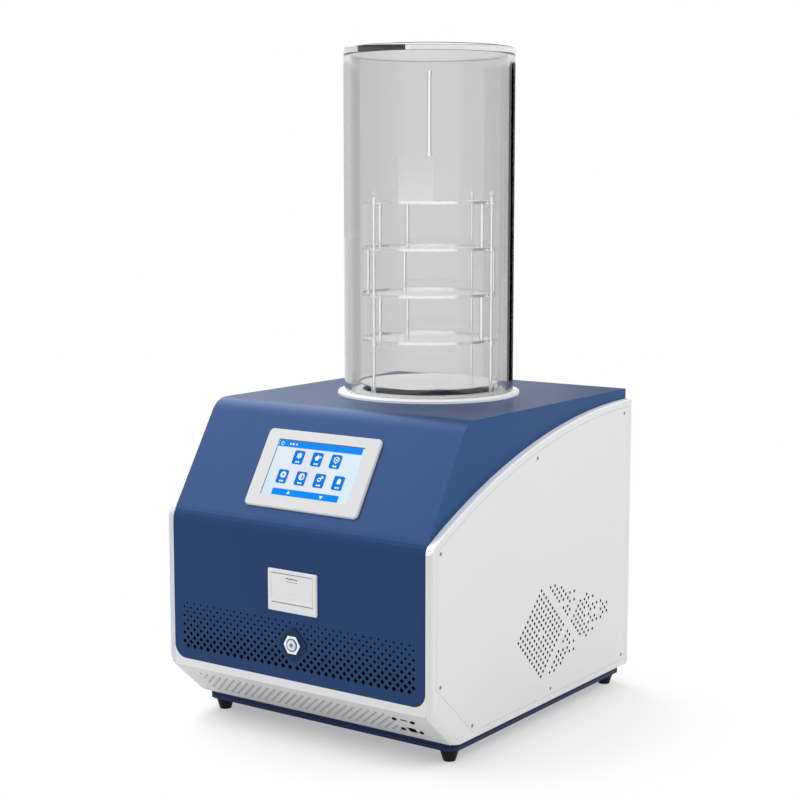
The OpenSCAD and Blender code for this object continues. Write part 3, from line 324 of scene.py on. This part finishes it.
# %% The cards
RIM_SPLIT = 0.605
card("dark_card_for_the_edge", 84, 115, 0, seen="skin")
card("grey_card_for_the_lid", 115, 190, 0.75, low=RIM_SPLIT, seen="skin")
card("grey_card_left_rim", 115, 134, 0.75, high=RIM_SPLIT, seen="skin")
card("grey_card_left_edge", 147, 190, 0.72, high=RIM_SPLIT, seen="skin")
card("grey_card_behind", 90, 104, 0.6, distance=CARD_FAR)
card("pale_card_behind", 104, 117, 0.85, distance=CARD_FAR)
card("grey_card_right", 52, 90, 0.6, distance=CARD_FAR)
card("grey_card_left", 137, 190, 0.72, high=CARD_TALL, seen="through", distance=CARD_FAR)
card("pale_card_inside", 90, 160, 1.2, high=CARD_TALL, seen="inside")
card("bright_card_inside", 255, 350, 1.9, high=CARD_TALL, seen="inside")
card("dark_card_inside", 20, 80, 0.25, high=CARD_TALL, seen="inside")
card("bright_card_low", 36, 74, 0.9, low=0.0, high=0.5, seen="outside")


# %% [markdown]
# ## Finishes
# Every finish is one Principled shader with a little unevenness in colour, roughness and surface.
# The helper below makes that base: a fine bump for the grain of the coating or moulding, and a
# slow noise that keeps broad faces from looking printed. Each finish then sets its own values.

# %% A finish helper
def finish(name, color, rough, metal=0.0, grain=0.0006, depth=0.02, drift=0.04, gloss=0.5,
           stretch=(1, 1, 1), uneven=0.05):
    """A material with a grain of the given size in metres, and colour that drifts slowly."""
    mat, tree, shader, _ = new_material(name)
    where = add_node(tree, "TexCoord", name="where").outputs["Object"]
    slow = add_node(tree, "TexNoise", {"Scale": 9, "Detail": 3, "Vector": where})
    darker = (*[c * (1 - drift) for c in color], 1)
    lighter = (*[min(1, c * (1 + drift)) for c in color], 1)
    scaled = add_node(tree, "Mapping", {"Scale": stretch, "Vector": where})
    fine = add_node(tree, "TexNoise", {
        "Scale": 1 / grain, "Detail": 2, "Vector": scaled.outputs["Vector"]})
    spread = add_node(tree, "MapRange", {
        "To Min": max(0.02, rough - uneven), "To Max": min(1, rough + uneven),
        "Value": fine.outputs["Fac"]})
    bump = add_node(tree, "Bump", {
        "Strength": depth, "Distance": grain, "Height": fine.outputs["Fac"]})
    fill(shader, {
        "Base Color": mix_colors(tree, slow.outputs["Fac"], darker, lighter),
        "Roughness": spread.outputs["Result"],
        "Normal": bump.outputs["Normal"],
        "Metallic": metal,
        "Specular IOR Level": gloss,
    })
    return mat


# %% [markdown]
# ### Paint
# The blue paint has metal flakes, so it is partly metallic and its own colour is in its gloss.

# %% Painted sheet
PAINT = dict(metal=0.4, grain=0.0009, depth=0.06, gloss=0.2)
COAT = dict(grain=0.0008, depth=0.08, drift=0.015)
blue_coat = finish("blue_metallic_coat", (0.0143, 0.046, 0.137), 0.4, **PAINT)
plate_coat = finish("port_plate_coat", (0.009, 0.027, 0.075), 0.42, **PAINT)
dark_coat = finish("dark_blue_coat", (0.014, 0.0255, 0.078), 0.42, **PAINT)
pale_apron = finish("pale_apron_coat", grey(0.75), 0.45, **COAT)
pale_back = finish("pale_back_coat", (0.6, 0.61, 0.62), 0.45, **COAT)
painted = (blue_coat, plate_coat, dark_coat, pale_apron, pale_back)
print("painted sheet:", [mat.name for mat in painted])

# %% [markdown]
# ### White mouldings
# White plastic differs from piece to piece, and each has its own level, which is also set by how
# much light reaches that piece, as painted light and shade. The left side's whites are shaded
# copies of the right side's: the lamps stand nearer to the left side, so its white is painted
# lower, as painted shade, and doesn't burn out.

# %% White mouldings
MOULDED = dict(grain=0.0007, depth=0.05, drift=0.01)
TRIM = dict(grain=0.0006, depth=0.04, drift=0.01)
SMOOTH = dict(grain=0.0006, depth=0.03, drift=0.01)
# Painted shade: the left side's white is a darker copy of the right side's.
RIGHT_WHITE, LEFT_WHITE_PAINTED_SHADE = grey(0.725), (0.62, 0.635, 0.665)
white_shell = finish("white_moulding", RIGHT_WHITE, 0.4, **MOULDED)
white_shell_left_painted_shade = finish("white_moulding_left_painted_shade", LEFT_WHITE_PAINTED_SHADE, 0.4, **MOULDED)
white_panel = finish("white_side_panel", RIGHT_WHITE, 0.4, **MOULDED)
white_panel_left_painted_shade = finish("white_side_panel_left_painted_shade", LEFT_WHITE_PAINTED_SHADE, 0.4, **MOULDED)
white_trim = finish("white_trim", (0.765, 0.765, 0.76), 0.35, **TRIM)
white_bezel = finish("white_bezel", grey(0.615), 0.35, **TRIM)
bright_white = finish("bright_white", grey(0.96), 0.4, **SMOOTH)
logger_white = finish("logger_white", grey(0.96), 0.4, **SMOOTH)
print("white of the right side", RIGHT_WHITE, "and of the left", LEFT_WHITE_PAINTED_SHADE)

# %% [markdown]
# ### Metals
# Brushed steel has its grain stretched along the height. The steel in the chamber is polished.

# %% Metals
POLISHED = dict(grain=0.0008, depth=0.02)
brushed_steel = finish("brushed_steel", (0.72, 0.73, 0.74), 0.24, metal=1, grain=0.0006, depth=0.04,
                       stretch=(1, 1, 0.05))
tray_steel = finish("polished_tray_steel", grey(0.97), 0.14, metal=0.7, **POLISHED)
bright_steel = finish("bright_steel", grey(0.98), 0.1, metal=0.8, **POLISHED)
plated = finish("nickel_plate", (0.86, 0.87, 0.89), 0.14, metal=1, **POLISHED)
screw_steel = finish("screw_steel", (0.34, 0.34, 0.35), 0.4, metal=0.5, grain=0.0006, depth=0.03)
copper = finish("copper_tube", (0.72, 0.34, 0.2), 0.35, metal=1, grain=0.001, depth=0.05,
                drift=0.12)
metals = (brushed_steel, tray_steel, bright_steel, plated, screw_steel, copper)
print("metals:", [mat.name for mat in metals])

# %% [markdown]
# ### Rubber, coloured plastic and the rest
# The dark plastic has almost no gloss, since the sockets made of it lie deep in the apron. The
# sockets' screws take it too, and are painted near black as painted shade.

# %% Other materials
pale_silicone = finish("pale_silicone", grey(0.96), 0.5, grain=0.001, depth=0.05, drift=0.02)
black_rubber = finish("black_rubber", grey(0.003), 0.6, grain=0.0015, depth=0.2, gloss=0.2)
socket_black_and_painted_shade = finish("dark_plastic_and_painted_shade", grey(0.003), 0.7, grain=0.0006, depth=0.1, gloss=0.05)
black_plastic = finish("black_plastic", (0.02, 0.021, 0.023), 0.45, grain=0.0006, depth=0.1)
grey_plastic = finish("grey_plastic", (0.06, 0.063, 0.068), 0.5, grain=0.0006, depth=0.1)
blue_plastic = finish("blue_ring", (0.01, 0.1, 0.55), 0.25, grain=0.0006, depth=0.02)
red_plastic = finish("red_rocker", (0.45, 0.02, 0.025), 0.3, grain=0.0006, depth=0.03)
clear_hose = finish("drain_hose", (0.7, 0.7, 0.66), 0.35, grain=0.001, depth=0.05)
foam = finish("yellow_foam", (0.72, 0.6, 0.28), 0.9, grain=0.003, depth=0.6, drift=0.1)
paper = finish("paper", (0.86, 0.86, 0.83), 0.85, grain=0.0005, depth=0.1, drift=0.02)
green_board = finish("board", (0.03, 0.17, 0.06), 0.4, grain=0.002, depth=0.2)
print("materials so far, with the floor's and the cards':", len(bpy.data.materials))


# %% [markdown]
# ## Painted shade by depth, and painted light and shade by facing
# Small holes look black in thin sheet, because their walls get no light. As painted shade, the
# walls of these holes are darkened by their depth: whatever lies further behind the outer face
# than a hair's breadth, along one direction, and inside the field of holes, turns dark.
#
# In a real studio the light falls off faster round a corner than these soft lamps give. So a few
# finishes get painted light and shade: a slightly different tone on the faces that look one way.

# %% Helpers for depth and facing
def recolor(mat, factor, color):
    """Lay another colour over a finish, where the factor is 1."""
    shader = mat.node_tree.nodes["Principled BSDF"]
    below = shader.inputs["Base Color"].links[0].from_socket
    fill(shader, {"Base Color": mix_colors(mat.node_tree, factor, below, (*color, 1))})


def darken_behind(mat, direction, depth, low=None, high=None, level=0.006):
    """Darken what lies beyond depth along direction, within the heights low to high."""
    tree = mat.node_tree
    where = tree.nodes["where"].outputs["Object"]
    dark = calculate(tree, "GREATER_THAN", amount_along(tree, where, direction), depth)
    if low is not None:
        z = add_node(tree, "SeparateXYZ", {"Vector": where}).outputs["Z"]
        for comparison, limit in (("GREATER_THAN", low), ("LESS_THAN", high)):
            dark = calculate(tree, "MULTIPLY", dark, calculate(tree, comparison, z, limit))
    recolor(mat, dark, grey(level))


def paint_light_and_shade_by_facing(mat, direction, color, least=0.9):
    """Painted light and shade: another colour for what faces along direction, to at least the given
    cosine.
    """
    tree = mat.node_tree
    normal = add_node(tree, "NewGeometry").outputs["Normal"]
    turned = amount_along(tree, normal, direction)
    recolor(mat, calculate(tree, "GREATER_THAN", turned, least), color)


# %% [markdown]
# The cover's front holes are darkened behind its front face, as painted shade, and so are its
# folded sides where they lie under the shells. The panels' holes go straight in from each side.
# As painted light, the right shell's upper edge, which looks forward and up, is lighter, and the
# cover's right side is a lighter blue. As painted shade, the logger's right side is a darker white.

# %% Painted shade in holes, painted light and shade by facing
HAIR = 0.1 * MM
HOLES_FROM, HOLES_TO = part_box("cover")[0][2] + 12 * MM, 0.19
SHELL_TOP = 0.29
RIGHT = (1, 0, 0)
right_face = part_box("side_panel_right")[1][0]
left_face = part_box("side_panel_left")[0][0]
cover_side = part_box("cover")[1][0]
# Painted shade in the walls of the cover's front holes and of the panels' holes.
darken_behind(blue_coat, (0, 1, 0), front_y + 3 * HAIR, HOLES_FROM, HOLES_TO)
darken_behind(white_panel, (-1, 0, 0), HAIR - right_face)
darken_behind(white_panel_left_painted_shade, RIGHT, left_face + HAIR)
# Painted light on the cover's right side and the shell's upper edge, painted shade on the logger's
# right side.
paint_light_and_shade_by_facing(blue_coat, RIGHT, (0.016, 0.07, 0.2))
paint_light_and_shade_by_facing(white_shell, (0, -0.5, 0.866), grey(0.97), 0.55)
paint_light_and_shade_by_facing(logger_white, RIGHT, grey(0.82))
# Painted shade: the cover's folded sides turn dark where they lie under the shells.
for side in (-1, 1):
    darken_behind(blue_coat, (side, 0, 0), cover_side - 5 * HAIR, 0.0, SHELL_TOP)
print("holes are dark from z =", round(HOLES_FROM, 4), "to", HOLES_TO)

# %% [markdown]
# The apron has a white upright band. Below it a greyer face slopes 53 mm down over a run of 59 mm.
# Inward is square to that slope, and the walls of the slots in it are darker still, as
# painted shade.

# %% Slots of the apron
APRON_RUN, APRON_DROP, APRON_TOP = 59 * MM, 53 * MM, 84 * MM
apron_in = Vector((0, APRON_DROP, APRON_RUN)).normalized()
apron_face = reach("skirt", apron_in)[0]
slots_from = APRON_TOP - APRON_DROP + 3 * MM
slots_to = APRON_TOP - 3 * MM
darken_behind(pale_apron, (0, 0, -1), 3 * HAIR - APRON_TOP, level=0.58)
# Painted shade: the walls of the slots are darkened.
darken_behind(pale_apron, apron_in, apron_face + 3 * HAIR, slots_from, slots_to, level=0.1)
print("slots are dark from z =", round(slots_from, 4), "to", round(slots_to, 4))


# %% [markdown]
# ## Clear acrylic
# Cast acrylic is clear, and each wall takes a little off the light behind it. The walls seem
# darker where they're seen edge on, because the way through them is longer there, so the colour
# depends on how the surface faces. Lamps shine through it with a plain tint instead of caustics.

# %% Clear acrylic
def clear_acrylic(name, face, edge):
    """Clear acrylic with one tint for walls seen squarely and another for walls seen edge on."""
    mat = finish(name, grey(face), 0.02, grain=0.02, depth=0.0004, drift=0.004, uneven=0.01)
    tree = mat.node_tree
    shader = tree.nodes["Principled BSDF"]
    fill(shader, {"Transmission Weight": 1, "IOR": 1.49})
    turned = add_node(tree, "LayerWeight", {"Blend": 0.18}).outputs["Facing"]
    recolor(mat, turned, (edge, edge * 1.01, edge * 1.01))
    thin = add_node(tree, "BsdfTransparent", {"Color": (0.985, 0.985, 0.985, 1)})
    shadow = add_node(tree, "LightPath").outputs["Is Shadow Ray"]
    fill(tree.nodes["Material Output"], {"Surface": mix_shaders(tree, shadow, shader, thin)})
    return mat


tube_acrylic = clear_acrylic("clear_tube", 0.755, 0.6)
lid_acrylic = clear_acrylic("clear_lid", 1.0, 1.0)
print("clear:", tube_acrylic.name, "and", lid_acrylic.name)


# %% [markdown]
# ## Giving the CAD pieces their finish
# A CAD piece keeps its shape, and only its material slot changes. One piece is left for later: the
# display's glass, which gets its picture below.

# %% Finish of each CAD piece
def dress(piece, mat):
    """Give a piece one finish."""
    piece.data.materials.clear()
    piece.data.materials.append(mat)


finish_of = {
    blue_coat: ["cover"],
    plate_coat: ["port_plate"],
    dark_coat: ["base_pan"],
    white_shell: ["side_shell_right"],
    white_shell_left_painted_shade: ["side_shell_left"],
    white_panel: ["side_panel_right"],
    white_panel_left_painted_shade: ["side_panel_left"],
    white_bezel: ["screen_bezel"],
    white_trim: ["printer_bezel", "printer_door", "door_latch", "release_collar"],
    bright_white: ["flange_ring"],
    logger_white: ["temperature_logger"],
    screw_steel: ["panel_screws"],
    pale_apron: ["skirt"],
    pale_back: ["rear_panel"],
    pale_silicone: ["base_seal"],
    black_rubber: ["foot_front_left", "foot_front_right", "foot_rear_left", "foot_rear_right",
                   "compressor_mounts", "platen_roller"],
    # Painted shade: the socket screws are dressed near black, like the sockets.
    socket_black_and_painted_shade: ["data_socket", "socket_screws"],
    black_plastic: ["power_inlet", "pump_outlet", "switch_frame", "compressor"],
    grey_plastic: ["screen_case", "printer_case", "fan_shroud", "fan_rotor"],
    tray_steel: ["shelf_1", "shelf_2", "shelf_3", "shelf_4", "rack_base"],
    brushed_steel: ["cold_trap", "vacuum_port", "fan_motor", "usb_socket"],
    bright_steel: ["rack_post_1", "rack_post_2", "rack_post_3", "rack_spacers", "logger_antenna"],
    plated: ["port_body"],
    copper: ["evaporator_coil", "refrigerant_pipes", "condenser"],
    foam: ["trap_foam"],
    paper: ["paper_roll"],
    green_board: ["control_board"],
    red_plastic: ["switch_rocker"],
    clear_hose: ["drain_hose"],
    tube_acrylic: ["chamber_tube"],
    lid_acrylic: ["chamber_lid"],
}
for mat, names in finish_of.items():
    for name in names:
        dress(nodes[name], mat)
dressed = {name for names in finish_of.values() for name in names}
print("pieces still without a finish:", sorted(set(nodes) - dressed))

# %% [markdown]
# ## A rounder brow
# The sheet rolls over from the slanted face to the top in a soft bend, which carries the widest
# highlight. A copy of the cover takes the CAD piece's place here. On the outer skin of that bend,
# each point moves from its own arc to a larger one, which touches the same two faces. It keeps its
# turn round the arc's middle, so that every facet keeps its direction.

# %% Where the bend is
BROW_R, SOFT_R = 26 * MM, 34 * MM
cover_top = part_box("cover")[1][2]
slant_face = reach("cover", SLANT_OUT)[1]


def brow_middle(radius):
    """The middle line of a bend that touches the top and the slanted face."""
    z = cover_top - radius
    return Vector((0, (SLANT_OUT.z * z - slant_face + radius) / -SLANT_OUT.y, z))


print("the bend's middle moves to", tuple(round(c, 4) for c in brow_middle(SOFT_R)))

# %% A softer copy of the cover
CLOSE = 0.05 * MM
soft_cover = bpy.data.objects.new("cover_soft_brow", nodes["cover"].data.copy())
soft_cover.data.transform(nodes["cover"].matrix_world)
scene.collection.objects.link(soft_cover)
corner_normals = [tuple(corner.vector) for corner in soft_cover.data.corner_normals]
moved = 0
for point in soft_cover.data.vertices:
    away = point.co - brow_middle(BROW_R)
    away.x = 0
    on_arc = abs(away.length - BROW_R) < CLOSE
    if on_arc and away.y < CLOSE and away.dot(SLANT_UP) > -CLOSE:
        x = point.co.x
        point.co = brow_middle(SOFT_R) + away.normalized() * SOFT_R
        point.co.x = x
        moved += 1
soft_cover.data.normals_split_custom_set(corner_normals)
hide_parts("cover")
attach(soft_cover, "cabinet")
print("points of the brow moved:", moved)


# %% [markdown]
# ## The lit display
# A lit display gives its own light, so its colours are emission, and its glass only adds a faint
# gloss.

# %% Display colours
def lit(name, color, strength=0.92):
    """A lit colour behind smooth glass."""
    mat = finish(name, [c * 0.05 for c in color], 0.3, grain=0.001, depth=0.004, gloss=0.02)
    shader = mat.node_tree.nodes["Principled BSDF"]
    fill(shader, {"Emission Color": (*color, 1), "Emission Strength": strength})
    return mat


backdrop = lit("display_backdrop", (0.8, 0.87, 0.98))
bar_blue = lit("display_bar_blue", (0.0, 0.27, 1.0))
tile_blue = lit("display_tile_blue", (0.0, 0.21, 0.78))
mark_white = lit("display_mark_white", (0.95, 0.97, 1.0), 1.0)
print("display colours:", [mat.name for mat in (backdrop, bar_blue, tile_blue, mark_white)])

# %% [markdown]
# The backdrop goes from pale blue at the sides to a lilac white in the middle, by the distance
# across the glass. A slow noise is added to that distance, so that the bands aren't straight.

# %% Display backdrop
CLOUDINESS = 0.35
BANDS = ((0.1, (0.62, 0.82, 0.98)), (0.35, (0.8, 0.87, 0.95)), (0.65, (0.78, 0.79, 0.92)),
         (0.9, (0.8, 0.89, 0.95)), (1.0, (0.72, 0.87, 0.98)))
tree = backdrop.node_tree
where = tree.nodes["where"].outputs["Object"]
across = add_node(tree, "MapRange", {
    "Value": add_node(tree, "SeparateXYZ", {"Vector": where}).outputs["X"],
    "From Min": glass_left, "From Max": glass_right})
clouds = add_node(tree, "TexNoise", {"Scale": 16, "Vector": where}).outputs["Fac"]
place = calculate(tree, "MULTIPLY_ADD", clouds, CLOUDINESS, across.outputs["Result"])
ramp = add_node(tree, "ValToRGB", {"Fac": place})
bands = ramp.color_ramp.elements
while len(bands) < len(BANDS):
    bands.new(0.5)
for band, (position, color) in zip(bands, BANDS):
    band.position = position
    band.color = (*color, 1)
fill(tree.nodes["Principled BSDF"], {"Emission Color": ramp.outputs["Color"]})
dress(nodes["screen_glass"], backdrop)
print("bands of the backdrop:", len(bands))

# %% [markdown]
# ## Marks on the display
# The menu is made of thin raised shapes, each a few tenths of a millimetre thick. They're drawn
# lying flat on the floor plane, with X across and Y up the display, because flat work is easy to
# measure. All their sizes are in millimetres.

# %% Flat plates
FLAT = 0.25 * MM

# Edges are selected, not points, because the plates get their rounded corners by edge.
scene.tool_settings.mesh_select_mode = (False, True, False)


def settle():
    """Put the place, turn and scale of the newest shape into its mesh, and return it."""
    bpy.ops.object.transform_apply(location=True, rotation=True, scale=True)
    return bpy.context.object


def slab(width, height, x=0.0, y=0.0, turn=0.0, corner=0.0):
    """A flat plate round x, y, with rounded corners."""
    bpy.ops.object.select_all(action="DESELECT")
    bpy.ops.mesh.primitive_cube_add(size=1, location=(x * MM, y * MM, FLAT / 2),
                                    rotation=(0, 0, turn), scale=(width * MM, height * MM, FLAT))
    piece = settle()
    if corner:
        for edge in piece.data.edges:
            a, b = (piece.data.vertices[i].co for i in edge.vertices)
            edge.select = abs(a.z - b.z) > FLAT / 2
        bpy.ops.object.mode_set(mode="EDIT")
        bpy.ops.mesh.bevel(offset=corner * MM, segments=5)
        bpy.ops.object.mode_set(mode="OBJECT")
    return piece


# %% Flat discs and rings
def coin(radius, x=0.0, y=0.0, corners=32, turn=0.0):
    """A flat disc, or with few corners a triangle or hexagon."""
    bpy.ops.object.select_all(action="DESELECT")
    bpy.ops.mesh.primitive_cylinder_add(vertices=corners, radius=radius * MM, depth=FLAT,
                                        location=(x * MM, y * MM, FLAT / 2), rotation=(0, 0, turn))
    return settle()


def hoop(radius, wire, x=0.0, y=0.0):
    """A flat ring with the given middle radius and width."""
    bpy.ops.object.select_all(action="DESELECT")
    bpy.ops.mesh.primitive_torus_add(major_radius=radius * MM, minor_radius=wire / 2 * MM,
                                     major_segments=32, minor_segments=8,
                                     location=(x * MM, y * MM, FLAT / 2))
    bpy.context.object.scale = (1, 1, FLAT / (wire * MM))
    return settle()


# %% Rows of bars and joined shapes
def spokes(count, inner, outer, wide, start=0.0):
    """Short bars that point outwards round a middle."""
    bars = []
    middle_r = (inner + outer) / 2
    for i in range(count):
        turn = start + 2 * pi * i / count
        bars.append(slab(outer - inner, wide, middle_r * cos(turn), middle_r * sin(turn), turn))
    return bars


def join(parts):
    """One mesh from several."""
    bpy.ops.object.select_all(action="DESELECT")
    for part in parts:
        part.select_set(True)
    bpy.context.view_layer.objects.active = parts[0]
    bpy.ops.object.join()
    return bpy.context.object


# %% [markdown]
# The seven signs are simple ones that such a menu needs: a snowflake for freezing, a drop with an
# arrow for drying, a gauge, a cog, a half disc in a ring, two linked rings and a bell. Each is
# drawn round its own middle, about ten millimetres across.

# %% Signs
def snowflake():
    """Six arms, each with a short bar across it."""
    arms = spokes(6, 0.4, 4.8, 0.9, pi / 6)
    return join(arms + spokes(6, 2.2, 3.6, 2.4, pi / 6))


def drop_and_arrow():
    """A drop with a pointed top, and an arrow to the right."""
    body = coin(3.2, -1, -1)
    tip = coin(3.0, -0.2, 1.6, corners=3)
    shaft = slab(3.4, 1.2, 3, 1.4)
    head = coin(1.8, 4.6, 1.4, corners=3, turn=radians(-90))
    return join([body, tip, shaft, head])


def gauge():
    """A round dial with three ticks outside it."""
    return join([hoop(3.9, 1.2), coin(1.5)] + spokes(3, 4.2, 5.4, 1.2, radians(30)))


def cog():
    """A ring with eight teeth."""
    return join([hoop(2.9, 2.2)] + spokes(8, 3.6, 5, 1.9))


def half_disc():
    """A half disc in a ring with eight rays."""
    half = coin(2.8)
    bpy.ops.object.mode_set(mode="EDIT")
    bpy.ops.mesh.select_all(action="SELECT")
    bpy.ops.mesh.bisect(plane_co=(0, 0, 0), plane_no=(1, 0, 0), clear_outer=True, use_fill=True)
    bpy.ops.object.mode_set(mode="OBJECT")
    return join([hoop(4, 1.4), half] + spokes(8, 4.4, 5.2, 1.3))


def linked_rings():
    """A large and a small ring with a bar between them."""
    large = hoop(2.4, 1.4, -1.4, -1.2)
    small = hoop(1.5, 1.1, 2.4, 2.6)
    return join([large, small, slab(2, 1, 0.9, 1.1, radians(45))])


def bell():
    """A dome on a block, with a brim and a clapper."""
    dome = coin(2.7, 0, 1.2)
    block = slab(5.4, 4, 0, -0.6)
    brim = slab(7, 1, 0, -2.8, corner=0.3)
    return join([dome, block, brim, coin(0.9, 0, -3.8)])


def label():
    """Two small marks, where a real menu has its words."""
    return join([slab(2.6, 2.2, x, -6.4, corner=0.5) for x in (-1.9, 1.9)])


# %% [markdown]
# One matrix stands a flat shape on the glass: its columns are the glass's own directions, across,
# up the slant and out of it. A shape can be lifted, so that it lies on top of another.

# %% Standing shapes on the glass
stand = Matrix((
    (1, SLANT_UP.x, SLANT_OUT.x, 0),
    (0, SLANT_UP.y, SLANT_OUT.y, 0),
    (0, SLANT_UP.z, SLANT_OUT.z, 0),
    (0, 0, 0, 1)))
glass_mid = SLANT_UP * ((glass_low + glass_high) / 2) + SLANT_OUT * glass_face


def put_on_glass(piece, name, mat, x=0.0, y=0.0, lift=0.0):
    """Name and dress a flat shape, and stand it on the glass at x, y, lifted off it."""
    piece.name = name
    dress(piece, mat)
    piece.data.transform(Matrix.Translation((x * MM, y * MM, lift)))
    piece.data.transform(Matrix.Translation(glass_mid) @ stand)
    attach(piece, "cabinet")


print("middle of the glass:", tuple(round(c, 4) for c in glass_mid))

# %% [markdown]
# Each tile is one rounded plate. It is modelled once and copied, and each copy gets its sign and
# its label on top. Three tiles stand in the upper row and four in the lower one.

# %% The menu's tiles
TILE_W, TILE_H, TILE_STEP = 16.5, 20, 32
UPPER_ROW, LOWER_ROW, MENU_X = 16.5, -13.5, 1.8
SIGN_UP = 3
places = [(MENU_X + TILE_STEP * i, UPPER_ROW) for i in (-1, 0, 1)]
places += [(MENU_X + TILE_STEP * i, LOWER_ROW) for i in (-1.5, -0.5, 0.5, 1.5)]
signs = [snowflake, drop_and_arrow, gauge, cog, half_disc, linked_rings, bell]

tiles = [slab(TILE_W, TILE_H, corner=2)]
for i in range(1, len(places)):
    copy = tiles[0].copy()
    copy.data = tiles[0].data.copy()
    scene.collection.objects.link(copy)
    tiles.append(copy)
for i, (tile, sign, (x, y)) in enumerate(zip(tiles, signs, places), start=1):
    put_on_glass(tile, f"display_tile_{i}", tile_blue, x, y)
    put_on_glass(sign(), f"display_sign_{i}", mark_white, x, y + SIGN_UP, FLAT)
    put_on_glass(label(), f"display_label_{i}", mark_white, x, y, FLAT)
print("tiles on the glass:", len(tiles))

# %% [markdown]
# A blue bar runs along the top with small status marks on it, and another along the bottom with an
# arrow up and an arrow down. A dark strip along the glass's upper and left edges is painted shade,
# where the bezel's recess shades the glass.

# %% Bars, arrows and the painted shade strip
PANE_W = (glass_right - glass_left) / MM
PANE_H = (glass_high - glass_low) / MM
BAR_H, LOWER_BAR_W = 9.5, 113
UP_X, DOWN_X, ARROW_R = -27, 29, 3.2
SHADE_STRIP_TOP, SHADE_STRIP_SIDE = 1.3, 0.8
top_y = PANE_H / 2 - 1.4 - BAR_H / 2
bottom_y = -PANE_H / 2 + 0.8 + BAR_H / 2
put_on_glass(slab(PANE_W - 4, BAR_H), "display_top_bar", bar_blue, -0.5, top_y)
put_on_glass(slab(LOWER_BAR_W, BAR_H, corner=1), "display_bottom_bar", bar_blue, 1.5, bottom_y)
for name, x, turn in (("display_up_arrow", UP_X, 0), ("display_down_arrow", DOWN_X, pi)):
    put_on_glass(coin(ARROW_R, corners=3, turn=turn), name, mark_white, x, bottom_y, FLAT)
status = join([hoop(2.2, 0.8, -66), slab(2, 2.6, -52, corner=0.4), slab(2.6, 2.6, -47, corner=0.8),
               coin(1.6, -41, corners=4)])
put_on_glass(status, "display_status_marks", mark_white, 0, top_y, FLAT)
# Painted shade: a black strip where the bezel's recess shades the glass's upper and left edges.
painted_shade_strip = join([slab(PANE_W, SHADE_STRIP_TOP, 0, (PANE_H - SHADE_STRIP_TOP) / 2),
               slab(SHADE_STRIP_SIDE, PANE_H, (SHADE_STRIP_SIDE - PANE_W) / 2, 0)])
put_on_glass(painted_shade_strip, "display_painted_shade_strip", black_plastic)

# %% [markdown]
# ## The blue ring of the drain fitting
# A thin moulded ring sits in a groove in the nut's face and marks the fitting. It is turned: a
# small section goes once round the fitting's axis.

# %% Blue ring
RING_R, RING_WIRE_R = 8.4 * MM, 0.95 * MM
nut_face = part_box("port_body")[0][1]
nut_mid = middle("port_body")
bpy.ops.object.select_all(action="DESELECT")
bpy.ops.mesh.primitive_torus_add(major_radius=RING_R, minor_radius=RING_WIRE_R, major_segments=72,
                                 minor_segments=12,
                                 location=(nut_mid.x, nut_face + 0.1 * MM, nut_mid.z),
                                 rotation=(pi / 2, 0, 0))
ring = settle()
bpy.ops.object.shade_smooth()
ring.name = "fitting_ring"
dress(ring, blue_plastic)
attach(ring, "cabinet")
print("ring:", ring.name, "at", tuple(round(c, 4) for c in nut_mid))
